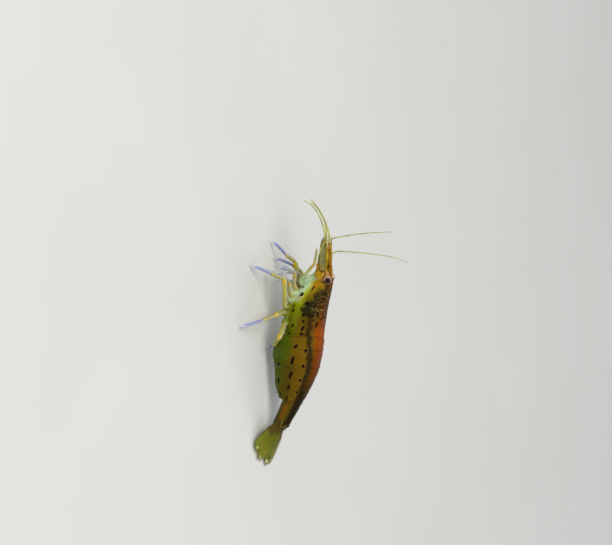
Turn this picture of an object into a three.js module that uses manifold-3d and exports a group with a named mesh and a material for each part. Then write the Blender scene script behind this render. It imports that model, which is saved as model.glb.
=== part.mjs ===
// A freshwater algae shrimp, life size: a female about 46 mm from rostrum to tail fan, on its walking legs.
// Millimetres, +Z up. The head points to -X, so its left side faces -Y, and all its feet stand on Z = 0.
// Every form is a three.js geometry carried to its place by a function. manifold-3d joins and cuts them.
import * as THREE from "three";
import { mergeVertices } from "three/addons/utils/BufferGeometryUtils.js";
import Module from "manifold-3d";

const wasm = await Module();
wasm.setup();

// ---- Driving dimensions ----
const gap = 0.12; // left between neighbouring pieces
const plate = 0.6; // thickness of a shell flap
const thin = 0.5; // thinnest fin blade, and the width of the finest feeler
const footRadius = 0.34; // the flat that each foot stands on

const carapaceFront = -10.9;
const carapaceBack = 0.94;
const rostrumTip = -17.0;
const eyeRadius = 0.76;
const eyes = { left: [-10.35, -1.5, 13.7], right: [-10.95, 1.42, 13.25] };

// The trunk's middle line at the seams of the abdomen's six rings. Its end turns down and to the left.
const seams = [
  [1.0, 0, 9.1],
  [3.25, 0, 8.9],
  [6.65, 0, 8.45],
  [9.2, 0, 7.7],
  [11.6, -0.05, 6.8],
  [13.8, -0.25, 5.85],
  [18.2, -0.9, 3.95],
];
const backHeight = [2.9, 2.8, 2.5, 2.15, 1.8, 1.5, 1.1]; // above the middle line, at each seam
const fleshDepth = [3.1, 2.8, 2.5, 2.15, 1.75, 1.45, 1.0]; // below it
const halfWidth = [3.2, 3.15, 3.0, 2.7, 2.35, 1.95, 1.35];
const flapDrop = [6.1, 6.5, 6.0, 5.2, 4.3, 1.95]; // how far each ring's side flap hangs below that line

const sides = { left: -1, right: 1 };
const both = Object.entries(sides);

// ---- Solids ----
const vec = (x, y, z) => new THREE.Vector3(x, y, z);
const mirrored = (p, side) => vec(p[0], p[1] * side, p[2]);
const ramp = (low, high, x) => THREE.MathUtils.smoothstep(x, low, high);

// A closed geometry as a manifold-3d solid with its faces pointing out.
function solidOf(geometry) {
  geometry.deleteAttribute("normal");
  geometry.deleteAttribute("uv");
  const merged = mergeVertices(geometry, 1e-4);
  const triVerts = new Uint32Array(merged.index.array);
  const vertProperties = merged.attributes.position.array;
  const made = new wasm.Manifold(new wasm.Mesh({ numProp: 3, vertProperties, triVerts }));
  if (made.volume() > 0) return made;
  for (let i = 0; i < triVerts.length; i += 3) {
    [triVerts[i + 1], triVerts[i + 2]] = [triVerts[i + 2], triVerts[i + 1]];
  }
  return new wasm.Manifold(new wasm.Mesh({ numProp: 3, vertProperties, triVerts }));
}

// A capped cylinder carried to place(u, t, r): u once round, t along it, r from its axis (0) to its skin (1).
function loft(sides, rings, place) {
  const geometry = new THREE.CylinderGeometry(1, 1, 1, sides, rings);
  const at = geometry.attributes.position;
  for (let i = 0; i < at.count; i++) {
    const [x, y, z] = [at.getX(i), at.getY(i), at.getZ(i)];
    const u = (Math.atan2(x, z) / (2 * Math.PI) + 1) % 1;
    const p = place(u, y + 0.5, Math.hypot(x, z));
    at.setXYZ(i, p.x, p.y, p.z);
  }
  return solidOf(geometry);
}

// A ball stretched to its three radii.
function ellipsoid(centre, radii, columns = 14, rows = 9) {
  const geometry = new THREE.SphereGeometry(1, columns, rows);
  geometry.scale(radii.x, radii.y, radii.z).translate(centre.x, centre.y, centre.z);
  return solidOf(geometry);
}

// A round limb through stations { p, r }. A station's own direction, along, sets the plane of its ring.
function limb(stations, sides = 6) {
  const ways = stations.map(({ along }, i) => {
    const before = stations[Math.max(i - 1, 0)].p;
    const after = stations[Math.min(i + 1, stations.length - 1)].p;
    return (along ?? after.clone().sub(before)).clone().normalize();
  });
  const across = [vec(0.31, 1, 0.17).cross(ways[0]).normalize()];
  for (let i = 1; i < ways.length; i++) {
    const turn = new THREE.Quaternion().setFromUnitVectors(ways[i - 1], ways[i]);
    across.push(across[i - 1].clone().applyQuaternion(turn).normalize());
  }
  const last = stations.length - 1;
  return loft(sides, last, (u, t, r) => {
    const i = Math.round(t * last);
    const side = ways[i].clone().cross(across[i]);
    const angle = 2 * Math.PI * u;
    const out = across[i].clone().multiplyScalar(Math.cos(angle)).addScaledVector(side, Math.sin(angle));
    return stations[i].p.clone().addScaledVector(out, r * stations[i].r);
  });
}

// A limb of steady taper along a smooth curve.
function feeler(points, rootRadius, tipRadius, rings, sides = 7) {
  const curve = new THREE.CatmullRomCurve3(points);
  const stations = curve.getSpacedPoints(rings).map((p, i) => ({
    p,
    r: THREE.MathUtils.lerp(rootRadius, tipRadius, i / rings),
  }));
  return limb(stations, sides);
}

// A flat blade from root to tip. outline(t) is its share of the full width; its flat side looks along face.
function blade({ root, tip, width, depth = thin, face, outline, sides = 10, rings = 6 }) {
  const along = tip.clone().sub(root);
  const across = along.clone().cross(face).normalize();
  const up = across.clone().cross(along).normalize();
  return loft(sides, rings, (u, t, r) => {
    const angle = 2 * Math.PI * u;
    const half = (width / 2) * outline(t);
    const lift = (depth / 2) * Math.sign(Math.sin(angle)) * Math.abs(Math.sin(angle)) ** 0.6;
    return root
      .clone()
      .addScaledVector(along, t)
      .addScaledVector(across, r * half * Math.cos(angle))
      .addScaledVector(up, r * lift);
  });
}

// What is left of a solid after its neighbours' grown copies are cut away: its largest piece.
function cutBy(solid, ...neighbours) {
  const left = neighbours.reduce((made, other) => made.subtract(other), solid).simplify(0.03);
  return left.decompose().sort((a, b) => b.volume() - a.volume())[0];
}

// ---- Sections ----
// A value that runs smoothly through a list, read at place s from 0 to the list's last index.
function through(list) {
  const curve = new THREE.SplineCurve(list.map((value, i) => new THREE.Vector2(i, value)));
  return (s) => curve.getPoint(THREE.MathUtils.clamp(s / (list.length - 1), 0, 1)).y;
}

// The same through [x, value] pairs, read at x.
function profile(pairs) {
  return (x) => {
    const i = Math.max(pairs.findIndex((p) => p[0] >= Math.min(x, pairs.at(-1)[0])), 1);
    const [[x0, a], [x1, b]] = [pairs[i - 1], pairs[i]];
    const t = THREE.MathUtils.clamp((x - x0) / (x1 - x0), 0, 1);
    return THREE.MathUtils.lerp(a, b, t);
  };
}

// One point of a trunk section, as [sideways, upwards]. k runs from the back (0) down one side to the belly
// (1): an arch to archEnd, a side wall to wallEnd, then the flat underside.
const archEnd = 0.5;
const wallEnd = 0.9;
function girth(u, { up, drop, half, tuck = 0.18 }) {
  const side = u < 0.5 ? 1 : -1;
  const k = 1 - Math.abs(2 * u - 1);
  if (k <= archEnd) {
    const angle = (k / archEnd) * (Math.PI / 2);
    return [side * half * Math.sin(angle), up * Math.max(Math.cos(angle), 0) ** 0.9];
  }
  if (k <= wallEnd + 1e-6) {
    const f = (k - archEnd) / (wallEnd - archEnd);
    return [side * half * (1 - tuck * f * f), -drop * f];
  }
  return [side * half * (1 - tuck) * ((1 - k) / (1 - wallEnd)), -drop];
}

// ---- Abdomen: six rings with side flaps over a hollow underside ----
const spine = new THREE.CatmullRomCurve3(seams.map(([x, y, z]) => vec(x, y, z)));
const spineAt = (s) => {
  const t = THREE.MathUtils.clamp(s / (seams.length - 1), 0, 1);
  const along = spine.getTangent(t);
  const beyond = s - t * (seams.length - 1);
  const across = vec(0, 0, 1).cross(along).normalize();
  const up = along.clone().cross(across);
  return { p: spine.getPoint(t).addScaledVector(along, beyond * 2), along, across, up };
};
const backAt = through(backHeight);
const fleshAt = through(fleshDepth);
const widthAt = through(halfWidth);
const flapAt = through(flapDrop);

// Ring number i. Its flaps are rounded below. The second ring's flaps spread over both neighbours' by spread,
// and the last ring's lower corners run back beside the tail fan by corner.
function abdomenRing(i, grow = 0) {
  const second = i === 1;
  const spread = second ? 0.26 : 0;
  const proud = second ? 0.22 : 0;
  const last = i === flapDrop.length - 1;
  const corner = last ? 0.5 : 0;
  const ends = grow / 2.6;
  return loft(16, 5, (u, t, r) => {
    const k = 1 - Math.abs(2 * u - 1);
    const low = ramp(archEnd - 0.1, archEnd + 0.15, k);
    const inset = gap / 2 / 2.6;
    const reach = spread * (2 * t - 1) * low + corner * ramp(0.75, 1, t) * ramp(0, archEnd, k);
    const s = i + inset - ends + t * (1 - 2 * inset + 2 * ends) + reach;
    const flap = last ? flapDrop[i] : flapAt(s - 0.5) * (1 - 0.1 * Math.abs(2 * t - 1) ** 3);
    const flare = 1 + 0.03 * (t - 0.5);
    const [y, h] = girth(u, {
      up: backAt(s) * flare + grow,
      drop: flap + grow,
      half: widthAt(s) * flare + proud * low + grow,
      tuck: last ? 0.45 : 0.2,
    });
    const { p, up, across } = spineAt(s);
    return p.addScaledVector(up, r * h).addScaledVector(across, r * y);
  });
}

// The space between the flaps, below the flesh, as a solid to cut away.
const undersideEnd = 4.95;
function underside() {
  const reach = 8;
  return loft(16, 15, (u, t, r) => {
    const s = THREE.MathUtils.lerp(-0.4, undersideEnd, t);
    const [y, h] = girth(u, { up: 0.4, drop: reach, half: widthAt(s) - plate, tuck: 0.34 });
    const { p, up, across } = spineAt(s);
    return p.addScaledVector(up, r * h - fleshAt(s) + 0.4 * (r - 1)).addScaledVector(across, r * y);
  });
}

// ---- Head and thorax ----
const backLine = profile([
  [-10.9, 14.15],
  [-9.6, 14.0],
  [-7.6, 13.5],
  [-4.8, 12.8],
  [-2.4, 12.4],
  [0.94, 11.9],
]);
const lowerMargin = profile([
  [-10.9, 11.7],
  [-10.4, 10.1],
  [-9.4, 8.6],
  [-7.2, 7.15],
  [-4.0, 5.85],
  [-1.2, 5.2],
  [0.3, 5.0],
  [0.94, 5.25],
]);
const shellWidth = profile([
  [-10.9, 1.35],
  [-9.6, 2.05],
  [-7.4, 2.75],
  [-4.4, 3.2],
  [-1.4, 3.3],
  [0.94, 3.2],
]);

function carapaceBody(grow = 0) {
  return loft(16, 10, (u, t, r) => {
    const x = THREE.MathUtils.lerp(carapaceFront - grow, carapaceBack - gap / 2 + grow, t);
    const [top, low] = [backLine(x), lowerMargin(x)];
    const middle = low + 0.52 * (top - low);
    const [y, h] = girth(u, {
      up: top - middle + grow,
      drop: middle - low + grow,
      half: shellWidth(x) + grow,
      tuck: 0.26,
    });
    return vec(x, r * y, middle + r * h);
  });
}

// The saw-edged blade in front of the carapace, lying in the middle plane.
function rostrum() {
  const teeth = 9;
  const rootX = carapaceFront + 2.6;
  const keel = profile([
    [rostrumTip, 13.4],
    [-14.5, 13.7],
    [-12.5, 13.95],
    [-10.6, 13.9],
    [-8.3, 13.55],
  ]);
  const deep = (x) => THREE.MathUtils.lerp(0.34, 0.95, (x - rostrumTip) / (rootX - rostrumTip));
  const outline = new THREE.Shape();
  outline.moveTo(rostrumTip, keel(rostrumTip));
  for (let i = 0; i < teeth; i++) {
    const x = THREE.MathUtils.lerp(rostrumTip + 0.5, rootX - 0.4, i / (teeth - 1));
    outline.lineTo(x, keel(x) + 0.16);
    outline.lineTo(x + 0.12, keel(x) + 0.3);
    outline.lineTo(x + 0.42, keel(x) + 0.16);
  }
  outline.lineTo(rootX, keel(rootX) - 0.05);
  outline.lineTo(rootX, keel(rootX) - deep(rootX));
  outline.lineTo(rostrumTip + 0.7, keel(rostrumTip) - deep(rostrumTip) * 0.9);
  const geometry = new THREE.ExtrudeGeometry(outline, { depth: thin, bevelEnabled: false });
  geometry.translate(0, 0, -thin / 2).rotateX(Math.PI / 2);
  return solidOf(geometry);
}

// The floor of the chest, which carries the legs and shows between the carapace's lower margins.
function thoraxBody(grow = 0) {
  return loft(12, 8, (u, t, r) => {
    const x = THREE.MathUtils.lerp(-9.7 - grow, carapaceBack - gap / 2 + grow, t);
    const hips = 0.85 * ramp(-9.2, -7.4, x) * (1 - ramp(-1.2, 0.9, x));
    const half = shellWidth(x) * 0.74 - 0.1 + grow;
    const [y, h] = girth(u, { up: 1.4 + grow, drop: 1.35 + hips + grow, half, tuck: 0.2 });
    return vec(x, r * y, lowerMargin(x) + 0.9 + r * h);
  });
}

const headBody = (grow = 0) =>
  ellipsoid(vec(-10.8, 0, 11.2), vec(1.95 + grow, 1.7 + grow, 1.6 + grow), 12, 8);
const mouthBody = (grow = 0) =>
  ellipsoid(vec(-9.7, 0, 8.7), vec(1.9 + grow, 1.45 + grow, 1.6 + grow), 12, 8);

// ---- Eyes ----
const eyeBody = (name, grow = 0) => {
  const radius = eyeRadius + grow;
  return ellipsoid(vec(...eyes[name]), vec(radius, radius, radius), 12, 8);
};
function stalkBody(name, grow = 0) {
  const end = vec(...eyes[name]);
  const side = Math.sign(end.y);
  const root = vec(-11.9, 0.45 * side, 13.0);
  return limb(
    [
      { p: root, r: 0.42 + grow },
      { p: root.clone().lerp(end, 0.35), r: 0.52 + grow },
      { p: root.clone().lerp(end, 0.7), r: 0.64 + grow },
      { p: end, r: 0.62 + grow },
    ],
    8,
  );
}

// ---- Feelers ----
const throughPoints = (points, side, grow = 0) =>
  limb(
    points.map(([x, y, z, r]) => ({ p: mirrored([x, y, z], side), r: r + grow })),
    7,
  );

// The antennule's three-jointed stem.
const antennuleStem = (side, grow = 0) =>
  throughPoints(
    [
      [-12.2, 0.8, 12.0, 0.45],
      [-13.1, 0.88, 12.75, 0.52],
      [-14.3, 0.95, 13.15, 0.52],
      [-14.45, 0.95, 13.22, 0.43],
      [-15.9, 1.0, 13.2, 0.46],
      [-16.05, 1.0, 13.19, 0.38],
      [-17.8, 1.0, 13.0, 0.4],
    ],
    side,
    grow,
  );

// Each antennule ends in an outer and an inner whip, which arch forward and down together.
const whipPaths = {
  left: [
    [-18.05, 13.22],
    [-19.7, 13.04],
    [-21.2, 12.75],
    [-22.6, 12.35],
    [-24.4, 11.4],
    [-25.6, 10.15],
    [-26.3, 9.0],
  ],
  right: [
    [-18.05, 12.96],
    [-19.3, 12.9],
    [-20.7, 12.55],
    [-21.9, 12.1],
    [-22.9, 11.6],
    [-24.8, 10.5],
    [-26.6, 9.1],
  ],
};
function antennuleWhip(name, outer) {
  const path = whipPaths[name];
  const side = sides[name];
  const apart = outer ? 1 : -1;
  const points = path.map(([x, z], i) => {
    const reach = outer ? 1 : 0.95;
    const y = 1.05 + 0.02 * i + apart * (0.27 + 0.05 * i);
    return vec(path[0][0] + (x - path[0][0]) * reach, y * side, z - 0.08 * apart * i);
  });
  return feeler(points, 0.26, 0.25, 10, 5);
}

// The antenna's short stem below the eye.
const antennaStem = (side, grow = 0) =>
  throughPoints(
    [
      [-10.9, 1.45, 11.5, 0.62],
      [-12.0, 1.8, 11.75, 0.66],
      [-12.5, 1.95, 11.85, 0.5],
      [-13.5, 2.2, 11.95, 0.42],
    ],
    side,
    grow,
  );

// The long whips swing upwards, the left one from further forward than the right one.
const antennaPaths = {
  left: [
    [-13.75, -2.24, 11.97],
    [-15.8, -2.75, 12.45],
    [-17.6, -3.25, 13.6],
    [-18.5, -3.7, 15.6],
    [-19.05, -4.3, 18.8],
    [-19.4, -5.0, 22.2],
    [-19.6, -5.8, 25.8],
    [-19.65, -6.8, 29.4],
  ],
  right: [
    [-13.75, 2.24, 11.97],
    [-15.1, 2.65, 12.35],
    [-16.05, 3.15, 13.5],
    [-16.05, 3.8, 15.8],
    [-15.8, 4.7, 18.6],
    [-15.4, 6.0, 21.9],
    [-14.8, 7.0, 24.7],
    [-14.0, 8.0, 26.9],
  ],
};
const antennaWhip = (name) =>
  feeler(antennaPaths[name].map((p) => vec(...p)), 0.3, 0.25, 16, 5);

// The leaf-like scale beside each antenna, its outer edge the lower.
const antennaScale = (side, grow = 0) =>
  blade({
    root: vec(-12.3, 2.0 * side, 12.75),
    tip: vec(-18.6, 2.1 * side, 13.0),
    width: 1.9 + 2 * grow,
    depth: thin + 2 * grow,
    face: vec(0, 0.55 * side, 1),
    outline: (t) => 0.36 + 0.64 * Math.sin(Math.PI * Math.min(0.12 + 0.9 * t, 1)) ** 0.6 * (1 - 0.25 * t),
  });

// The third maxilliped, a slender leg of the mouth that points forward.
const maxilliped = (side) =>
  throughPoints(
    [
      [-9.3, 1.0, 8.0, 0.42],
      [-10.4, 1.9, 7.9, 0.4],
      [-11.8, 2.3, 9.3, 0.35],
      [-12.0, 2.32, 9.55, 0.3],
      [-13.8, 2.25, 10.9, 0.3],
      [-14.0, 2.24, 11.0, 0.26],
      [-16.6, 2.1, 11.6, 0.25],
    ],
    side,
  );

// ---- Legs ----
// Radii just inside each end of a leg's five joints, from the hip outwards.
const legRadii = [
  [0.62, 0.55],
  [0.46, 0.44],
  [0.36, 0.4],
  [0.3, 0.28],
  [0.26, 0.25],
];

// A leg through its hip, joints and tip. A walking leg's tip stands flat on the floor.
function leg(joints, side, standing) {
  const points = joints.map((p) => mirrored(p, side));
  const stations = [{ p: points[0], r: legRadii[0][0] }];
  for (let i = 0; i + 1 < points.length; i++) {
    const [a, b] = [points[i], points[i + 1]];
    const [r0, r1] = legRadii[i];
    for (const f of i === 1 ? [0.1, 0.5, 0.9] : [0.12, 0.88]) {
      if (standing && i === points.length - 2 && f > 0.5) continue;
      const r = THREE.MathUtils.lerp(r0, r1, f) * (f === 0.5 ? 0.94 : 1);
      stations.push({ p: a.clone().lerp(b, f), r });
    }
  }
  const tip = points.at(-1);
  if (standing) {
    stations.push({ p: tip.clone().setZ(0.5), r: 0.26, along: vec(0, 0, -1) });
    stations.push({ p: tip.clone().setZ(0), r: footRadius, along: vec(0, 0, -1) });
  } else {
    stations.push({ p: tip, r: legRadii.at(-1)[1] });
  }
  return limb(stations);
}

const walkingLegs = {
  leg_3_left: [
    [-5.1, 1.6, 6.1],
    [-5.1, 3.2, 5.0],
    [-10.6, 4.6, 5.65],
    [-11.7, 5.9, 3.4],
    [-13.15, 8.7, 0.9],
    [-13.4, 9.2, 0],
  ],
  leg_4_left: [
    [-3.7, 1.6, 5.8],
    [-4.0, 3.4, 4.6],
    [-3.5, 8.1, 5.3],
    [-2.6, 10.5, 3.8],
    [-1.4, 13.7, 0.9],
    [-1.2, 14.1, 0],
  ],
  leg_5_left: [
    [-2.2, 1.6, 5.6],
    [-1.7, 2.7, 4.75],
    [1.1, 5.6, 4.9],
    [2.5, 4.1, 3.2],
    [3.0, 1.5, 0.85],
    [3.1, 1.0, 0],
  ],
  leg_3_right: [
    [-5.1, 1.6, 6.1],
    [-7.9, 3.0, 5.3],
    [-14.0, 2.3, 4.95],
    [-15.4, 1.6, 3.25],
    [-18.05, 0.6, 0.9],
    [-18.4, 0.5, 0],
  ],
  leg_4_right: [
    [-3.7, 1.6, 5.8],
    [-6.2, 3.9, 5.95],
    [-12.0, 3.8, 5.6],
    [-13.4, 3.2, 3.9],
    [-14.8, 1.9, 0.9],
    [-15.0, 1.7, 0],
  ],
  leg_5_right: [
    [-2.2, 1.6, 5.6],
    [-1.1, 3.1, 5.1],
    [2.2, 6.0, 5.4],
    [3.0, 7.2, 3.6],
    [2.9, 8.4, 0.9],
    [2.9, 8.6, 0],
  ],
};

// The first two pairs end in small pincers and reach for the floor without standing on it.
const pincerLegs = {
  leg_1_left: [
    [-7.9, 1.4, 7.2],
    [-9.4, 2.2, 6.6],
    [-11.7, 2.6, 7.1],
    [-12.6, 2.7, 5.6],
    [-13.0, 2.6, 4.2],
  ],
  leg_2_left: [
    [-6.6, 1.5, 6.6],
    [-7.9, 2.7, 5.9],
    [-9.9, 3.3, 6.2],
    [-11.0, 3.4, 4.8],
    [-11.4, 3.2, 3.3],
  ],
  leg_1_right: [
    [-7.9, 1.4, 7.2],
    [-9.2, 1.6, 6.3],
    [-11.4, 1.3, 6.6],
    [-12.0, 1.0, 5.2],
    [-12.1, 0.8, 3.9],
  ],
  leg_2_right: [
    [-6.6, 1.4, 6.6],
    [-7.6, 1.5, 5.5],
    [-9.5, 1.1, 5.5],
    [-10.2, 0.9, 4.1],
    [-10.3, 0.7, 2.9],
  ],
};
const fingerLength = 1.2;

function pincerLeg(joints, side) {
  const arm = leg(joints, side, false);
  const [wrist, palm] = joints.slice(-2).map((p) => mirrored(p, side));
  const way = palm.clone().sub(wrist).normalize();
  const apart = vec(1, 0.2 * side, 0).cross(way).cross(way).normalize();
  return [-1, 1].reduce((made, hand) => {
    const root = palm.clone().addScaledVector(way, -0.5).addScaledVector(apart, 0.05 * hand);
    const tip = palm.clone().addScaledVector(way, fingerLength).addScaledVector(apart, 0.42 * hand);
    const middle = root.clone().lerp(tip, 0.5);
    const finger = [
      { p: root, r: 0.3 },
      { p: middle, r: 0.28 },
      { p: tip, r: 0.25 },
    ];
    return made.add(limb(finger, 5));
  }, arm);
}

// ---- Swimmerets: a stem and a leaf under each of the first five rings ----
function swimmeret(i, side) {
  const { p, up, along, across } = spineAt(i + 0.45);
  const flesh = fleshAt(i + 0.45);
  const space = flapDrop[i] - flesh;
  const out = side * (widthAt(i + 0.5) - plate) * 0.46;
  const place = (down, behind) =>
    p
      .clone()
      .addScaledVector(up, -down)
      .addScaledVector(along, behind)
      .addScaledVector(across, out);
  const root = place(flesh - 0.4, 0);
  const knee = place(flesh + 0.34 * space, 0.1);
  const tip = place(flesh + 0.9 * space, 1.35);
  const stations = [
    { p: root, r: 0.42 },
    { p: knee, r: 0.36 },
    { p: knee.clone().lerp(tip, 0.3), r: 0.27 },
  ];
  const leaf = blade({
    root: knee.clone().lerp(tip, -0.05),
    tip,
    width: Math.min(1.5, Math.abs(out) * 1.25),
    face: vec(0.9, 0, 0.5),
    outline: (t) => 0.3 + 0.7 * Math.sin(Math.PI * (0.1 + 0.8 * t)),
    sides: 6,
    rings: 4,
  });
  return limb(stations, 5).add(leaf);
}

// ---- Tail fan ----
const fanRoot = vec(18.3, -0.95, 3.75);
const fanTurn = -16 * THREE.MathUtils.DEG2RAD;

// One blade of the fan. Its root and tip are measured from the fan's root: forward, to its side, and down. Its
// flat side leans to the left by lean.
function fanBlade({ side, root, tip, width, lean, depth = thin, outline, grow = 0 }) {
  const place = ([x, y, z]) => vec(x, y * side, -z).applyAxisAngle(vec(0, 0, 1), fanTurn).add(fanRoot);
  const [from, to] = [place(root), place(tip)];
  const way = to.clone().sub(from).normalize();
  const solid = blade({
    root: from.addScaledVector(way, -grow),
    tip: to.addScaledVector(way, grow),
    width: width + 2 * grow,
    depth: depth + 2 * grow,
    face: vec(0.4, lean, 1),
    outline,
  });
  return solid.trimByPlane([0, 0, 1], 0);
}

function leafOutline(t) {
  const swell = 0.52 + 0.48 * Math.sin((Math.PI / 2) * Math.min(t / 0.55, 1));
  return swell * (1 - 0.45 * ramp(0.75, 1, t));
}
function telson(grow = 0) {
  const size = { width: 2.3, depth: 0.7, lean: -0.25, outline: (t) => 1 - 0.6 * t };
  return fanBlade({ ...size, side: 1, root: [0.2, 0, -0.2], tip: [6.6, 0, 2.95], grow });
}

// The left half of the fan is spread wider than the right half.
const innerTip = { left: [7.6, 2.3, 3.2], right: [8.0, 1.5, 3.5] };
const outerTip = { left: [6.1, 4.4, 3.2], right: [7.4, 3.1, 3.62] };
const fanLean = { left: -0.5, right: 0 };
const innerLeaf = { root: [0.2, 0.6, 0.15], width: 2.6, outline: leafOutline };
const outerLeaf = { root: [0.2, 0.9, 0.3], width: 3.1, outline: leafOutline };
function innerFan(name, grow = 0) {
  return fanBlade({ ...innerLeaf, side: sides[name], tip: innerTip[name], lean: fanLean[name], grow });
}
function outerFan(name) {
  return fanBlade({ ...outerLeaf, side: sides[name], tip: outerTip[name], lean: fanLean[name] });
}

// ---- Colours ----
const materials = {
  shell: new THREE.MeshStandardMaterial({ color: 0x76701c, roughness: 0.32, metalness: 0 }),
  back: new THREE.MeshStandardMaterial({ color: 0x7a4a0e, roughness: 0.3, metalness: 0 }),
  flesh: new THREE.MeshStandardMaterial({ color: 0x8f9f5a, roughness: 0.4, metalness: 0 }),
  leg: new THREE.MeshStandardMaterial({ color: 0xa39f4c, roughness: 0.35, metalness: 0 }),
  feeler: new THREE.MeshStandardMaterial({ color: 0xa9ad62, roughness: 0.4, metalness: 0 }),
  fin: new THREE.MeshStandardMaterial({ color: 0x7d7f34, roughness: 0.35, metalness: 0 }),
  eye: new THREE.MeshStandardMaterial({ color: 0x2c1216, roughness: 0.12, metalness: 0 }),
};

const pieces = [];
function addPiece(name, solid, material) {
  const { numProp, vertProperties, triVerts } = solid.getMesh();
  const geometry = new THREE.BufferGeometry();
  geometry.setAttribute("position", new THREE.BufferAttribute(vertProperties, numProp));
  geometry.setIndex(new THREE.BufferAttribute(triVerts, 1));
  geometry.computeVertexNormals();
  const mesh = new THREE.Mesh(geometry, materials[material]);
  mesh.name = name;
  pieces.push(mesh);
}

// ---- Assembly ----
const head = headBody();
const grownHead = headBody(gap);
const grownThorax = thoraxBody(gap);
const grownCarapace = carapaceBody(gap).add(rostrum());
const grownMouth = cutBy(mouthBody(gap), head);
const grown = (maker) => both.map(([name, side]) => maker(side, name));
const eyesAndStalks = grown((side, name) => eyeBody(name, gap).add(stalkBody(name, gap)));
const antennaStems = grown((side) => antennaStem(side, gap));
const antennuleStems = grown((side) => antennuleStem(side, gap));

const stems = [...antennaStems, ...antennuleStems];
const inside = [grownHead, grownThorax, grownMouth, ...eyesAndStalks, ...stems];
addPiece("carapace", cutBy(carapaceBody().add(rostrum()), ...inside), "back");
addPiece("thorax_floor", cutBy(thoraxBody(), grownHead, grownMouth), "flesh");
addPiece("head", head, "flesh");
addPiece("mouthparts", cutBy(mouthBody(), grownHead), "flesh");

const hollow = underside();
const hollowRing = (i, grow) => abdomenRing(i, grow).subtract(hollow);
const grownSecond = abdomenRing(1, 1.6 * gap);
const lastIndex = flapDrop.length - 1;
const neighbours = { 0: [grownSecond, grownThorax, grownCarapace], 1: [grownThorax], 2: [grownSecond] };
neighbours[lastIndex] = [hollowRing(lastIndex - 1, gap)];
for (let i = 0; i <= lastIndex; i++) {
  const ring = i === lastIndex ? abdomenRing(i) : hollowRing(i, 0);
  addPiece(`abdomen_${i + 1}`, cutBy(ring, ...(neighbours[i] ?? [])), "shell");
}

const lastRing = abdomenRing(lastIndex, gap);
addPiece("telson", cutBy(telson(), lastRing), "fin");
const rings = flapDrop.slice(0, lastIndex).map((drop, i) => hollowRing(i, gap));

for (const [name, side] of both) {
  addPiece(`uropod_inner_${name}`, cutBy(innerFan(name), lastRing, telson(gap)), "fin");
  addPiece(`uropod_outer_${name}`, cutBy(outerFan(name), lastRing, telson(gap), innerFan(name, gap)), "fin");

  addPiece(`eye_${name}`, eyeBody(name), "eye");
  const stalk = cutBy(stalkBody(name), grownHead, eyeBody(name, gap), ...antennuleStems);
  addPiece(`eyestalk_${name}`, stalk, "flesh");

  addPiece(`antennule_stem_${name}`, cutBy(antennuleStem(side), grownHead), "leg");
  addPiece(`antennule_outer_${name}`, antennuleWhip(name, true), "feeler");
  addPiece(`antennule_inner_${name}`, antennuleWhip(name, false), "feeler");
  addPiece(`antenna_stem_${name}`, cutBy(antennaStem(side), grownHead), "leg");
  addPiece(`antenna_${name}`, antennaWhip(name), "feeler");
  const ownStems = [antennuleStem(side, gap), antennaStem(side, gap)];
  const scale = cutBy(antennaScale(side), ...ownStems, antennaWhip(name), grownHead, ...eyesAndStalks);
  addPiece(`antenna_scale_${name}`, scale, "fin");
  const byMaxilliped = [grownHead, grownThorax, grownMouth, grownCarapace, antennaStem(side, gap)];
  addPiece(`maxilliped_${name}`, cutBy(maxilliped(side), ...byMaxilliped), "leg");

  for (let i = 0; i < lastIndex; i++) {
    addPiece(`swimmeret_${i + 1}_${name}`, cutBy(swimmeret(i, side), ...rings), "fin");
  }
}

const chest = [grownThorax, grownCarapace, grownMouth];
const sideOf = (name) => sides[name.split("_").at(-1)];
for (const [name, joints] of Object.entries(walkingLegs)) {
  addPiece(name, cutBy(leg(joints, sideOf(name), true), ...chest), "leg");
}
for (const [name, joints] of Object.entries(pincerLegs)) {
  addPiece(name, cutBy(pincerLeg(joints, sideOf(name)), ...chest), "leg");
}

// The middle of the whole animal's outline stands over the origin.
const shrimp = new THREE.Group();
shrimp.add(...pieces);
const extent = new THREE.Box3().setFromObject(shrimp);
const middle = extent.getCenter(new THREE.Vector3());
for (const mesh of pieces) mesh.position.set(-middle.x, -middle.y, 0);

export default shrimp;
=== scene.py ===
import math

import bpy
import numpy as np
from mathutils import Matrix, Vector


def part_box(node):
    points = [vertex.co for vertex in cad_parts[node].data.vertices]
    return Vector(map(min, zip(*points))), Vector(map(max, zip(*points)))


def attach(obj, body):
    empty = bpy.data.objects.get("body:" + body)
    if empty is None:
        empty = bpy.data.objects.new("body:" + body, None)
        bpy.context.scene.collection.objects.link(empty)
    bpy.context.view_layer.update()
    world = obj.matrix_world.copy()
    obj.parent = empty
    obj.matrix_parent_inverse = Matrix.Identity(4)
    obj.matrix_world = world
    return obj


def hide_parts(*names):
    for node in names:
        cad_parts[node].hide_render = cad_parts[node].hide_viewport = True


# A grown female algae shrimp, life size and still in its pose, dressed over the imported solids.
# Sizes are millimetres from a point on the floor below the carapace's rear edge. toFrame carries them over.
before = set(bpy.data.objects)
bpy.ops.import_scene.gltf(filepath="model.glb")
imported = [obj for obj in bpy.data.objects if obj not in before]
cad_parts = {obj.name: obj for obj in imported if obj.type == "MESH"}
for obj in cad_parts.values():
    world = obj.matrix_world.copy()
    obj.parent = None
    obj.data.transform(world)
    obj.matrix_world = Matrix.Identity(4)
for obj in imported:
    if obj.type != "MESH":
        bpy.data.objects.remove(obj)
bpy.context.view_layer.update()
mm = 0.001
sides = {"left": -1, "right": 1}
eyeCentre = {"left": (-10.35, -1.5, 13.7), "right": (-10.95, 1.42, 13.25)}
shift = sum(np.array(corner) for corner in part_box("eye_left")) / 2 - np.array(eyeCentre["left"]) * mm


def toFrame(points):
    return np.asarray(points, float) * mm + shift


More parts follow.
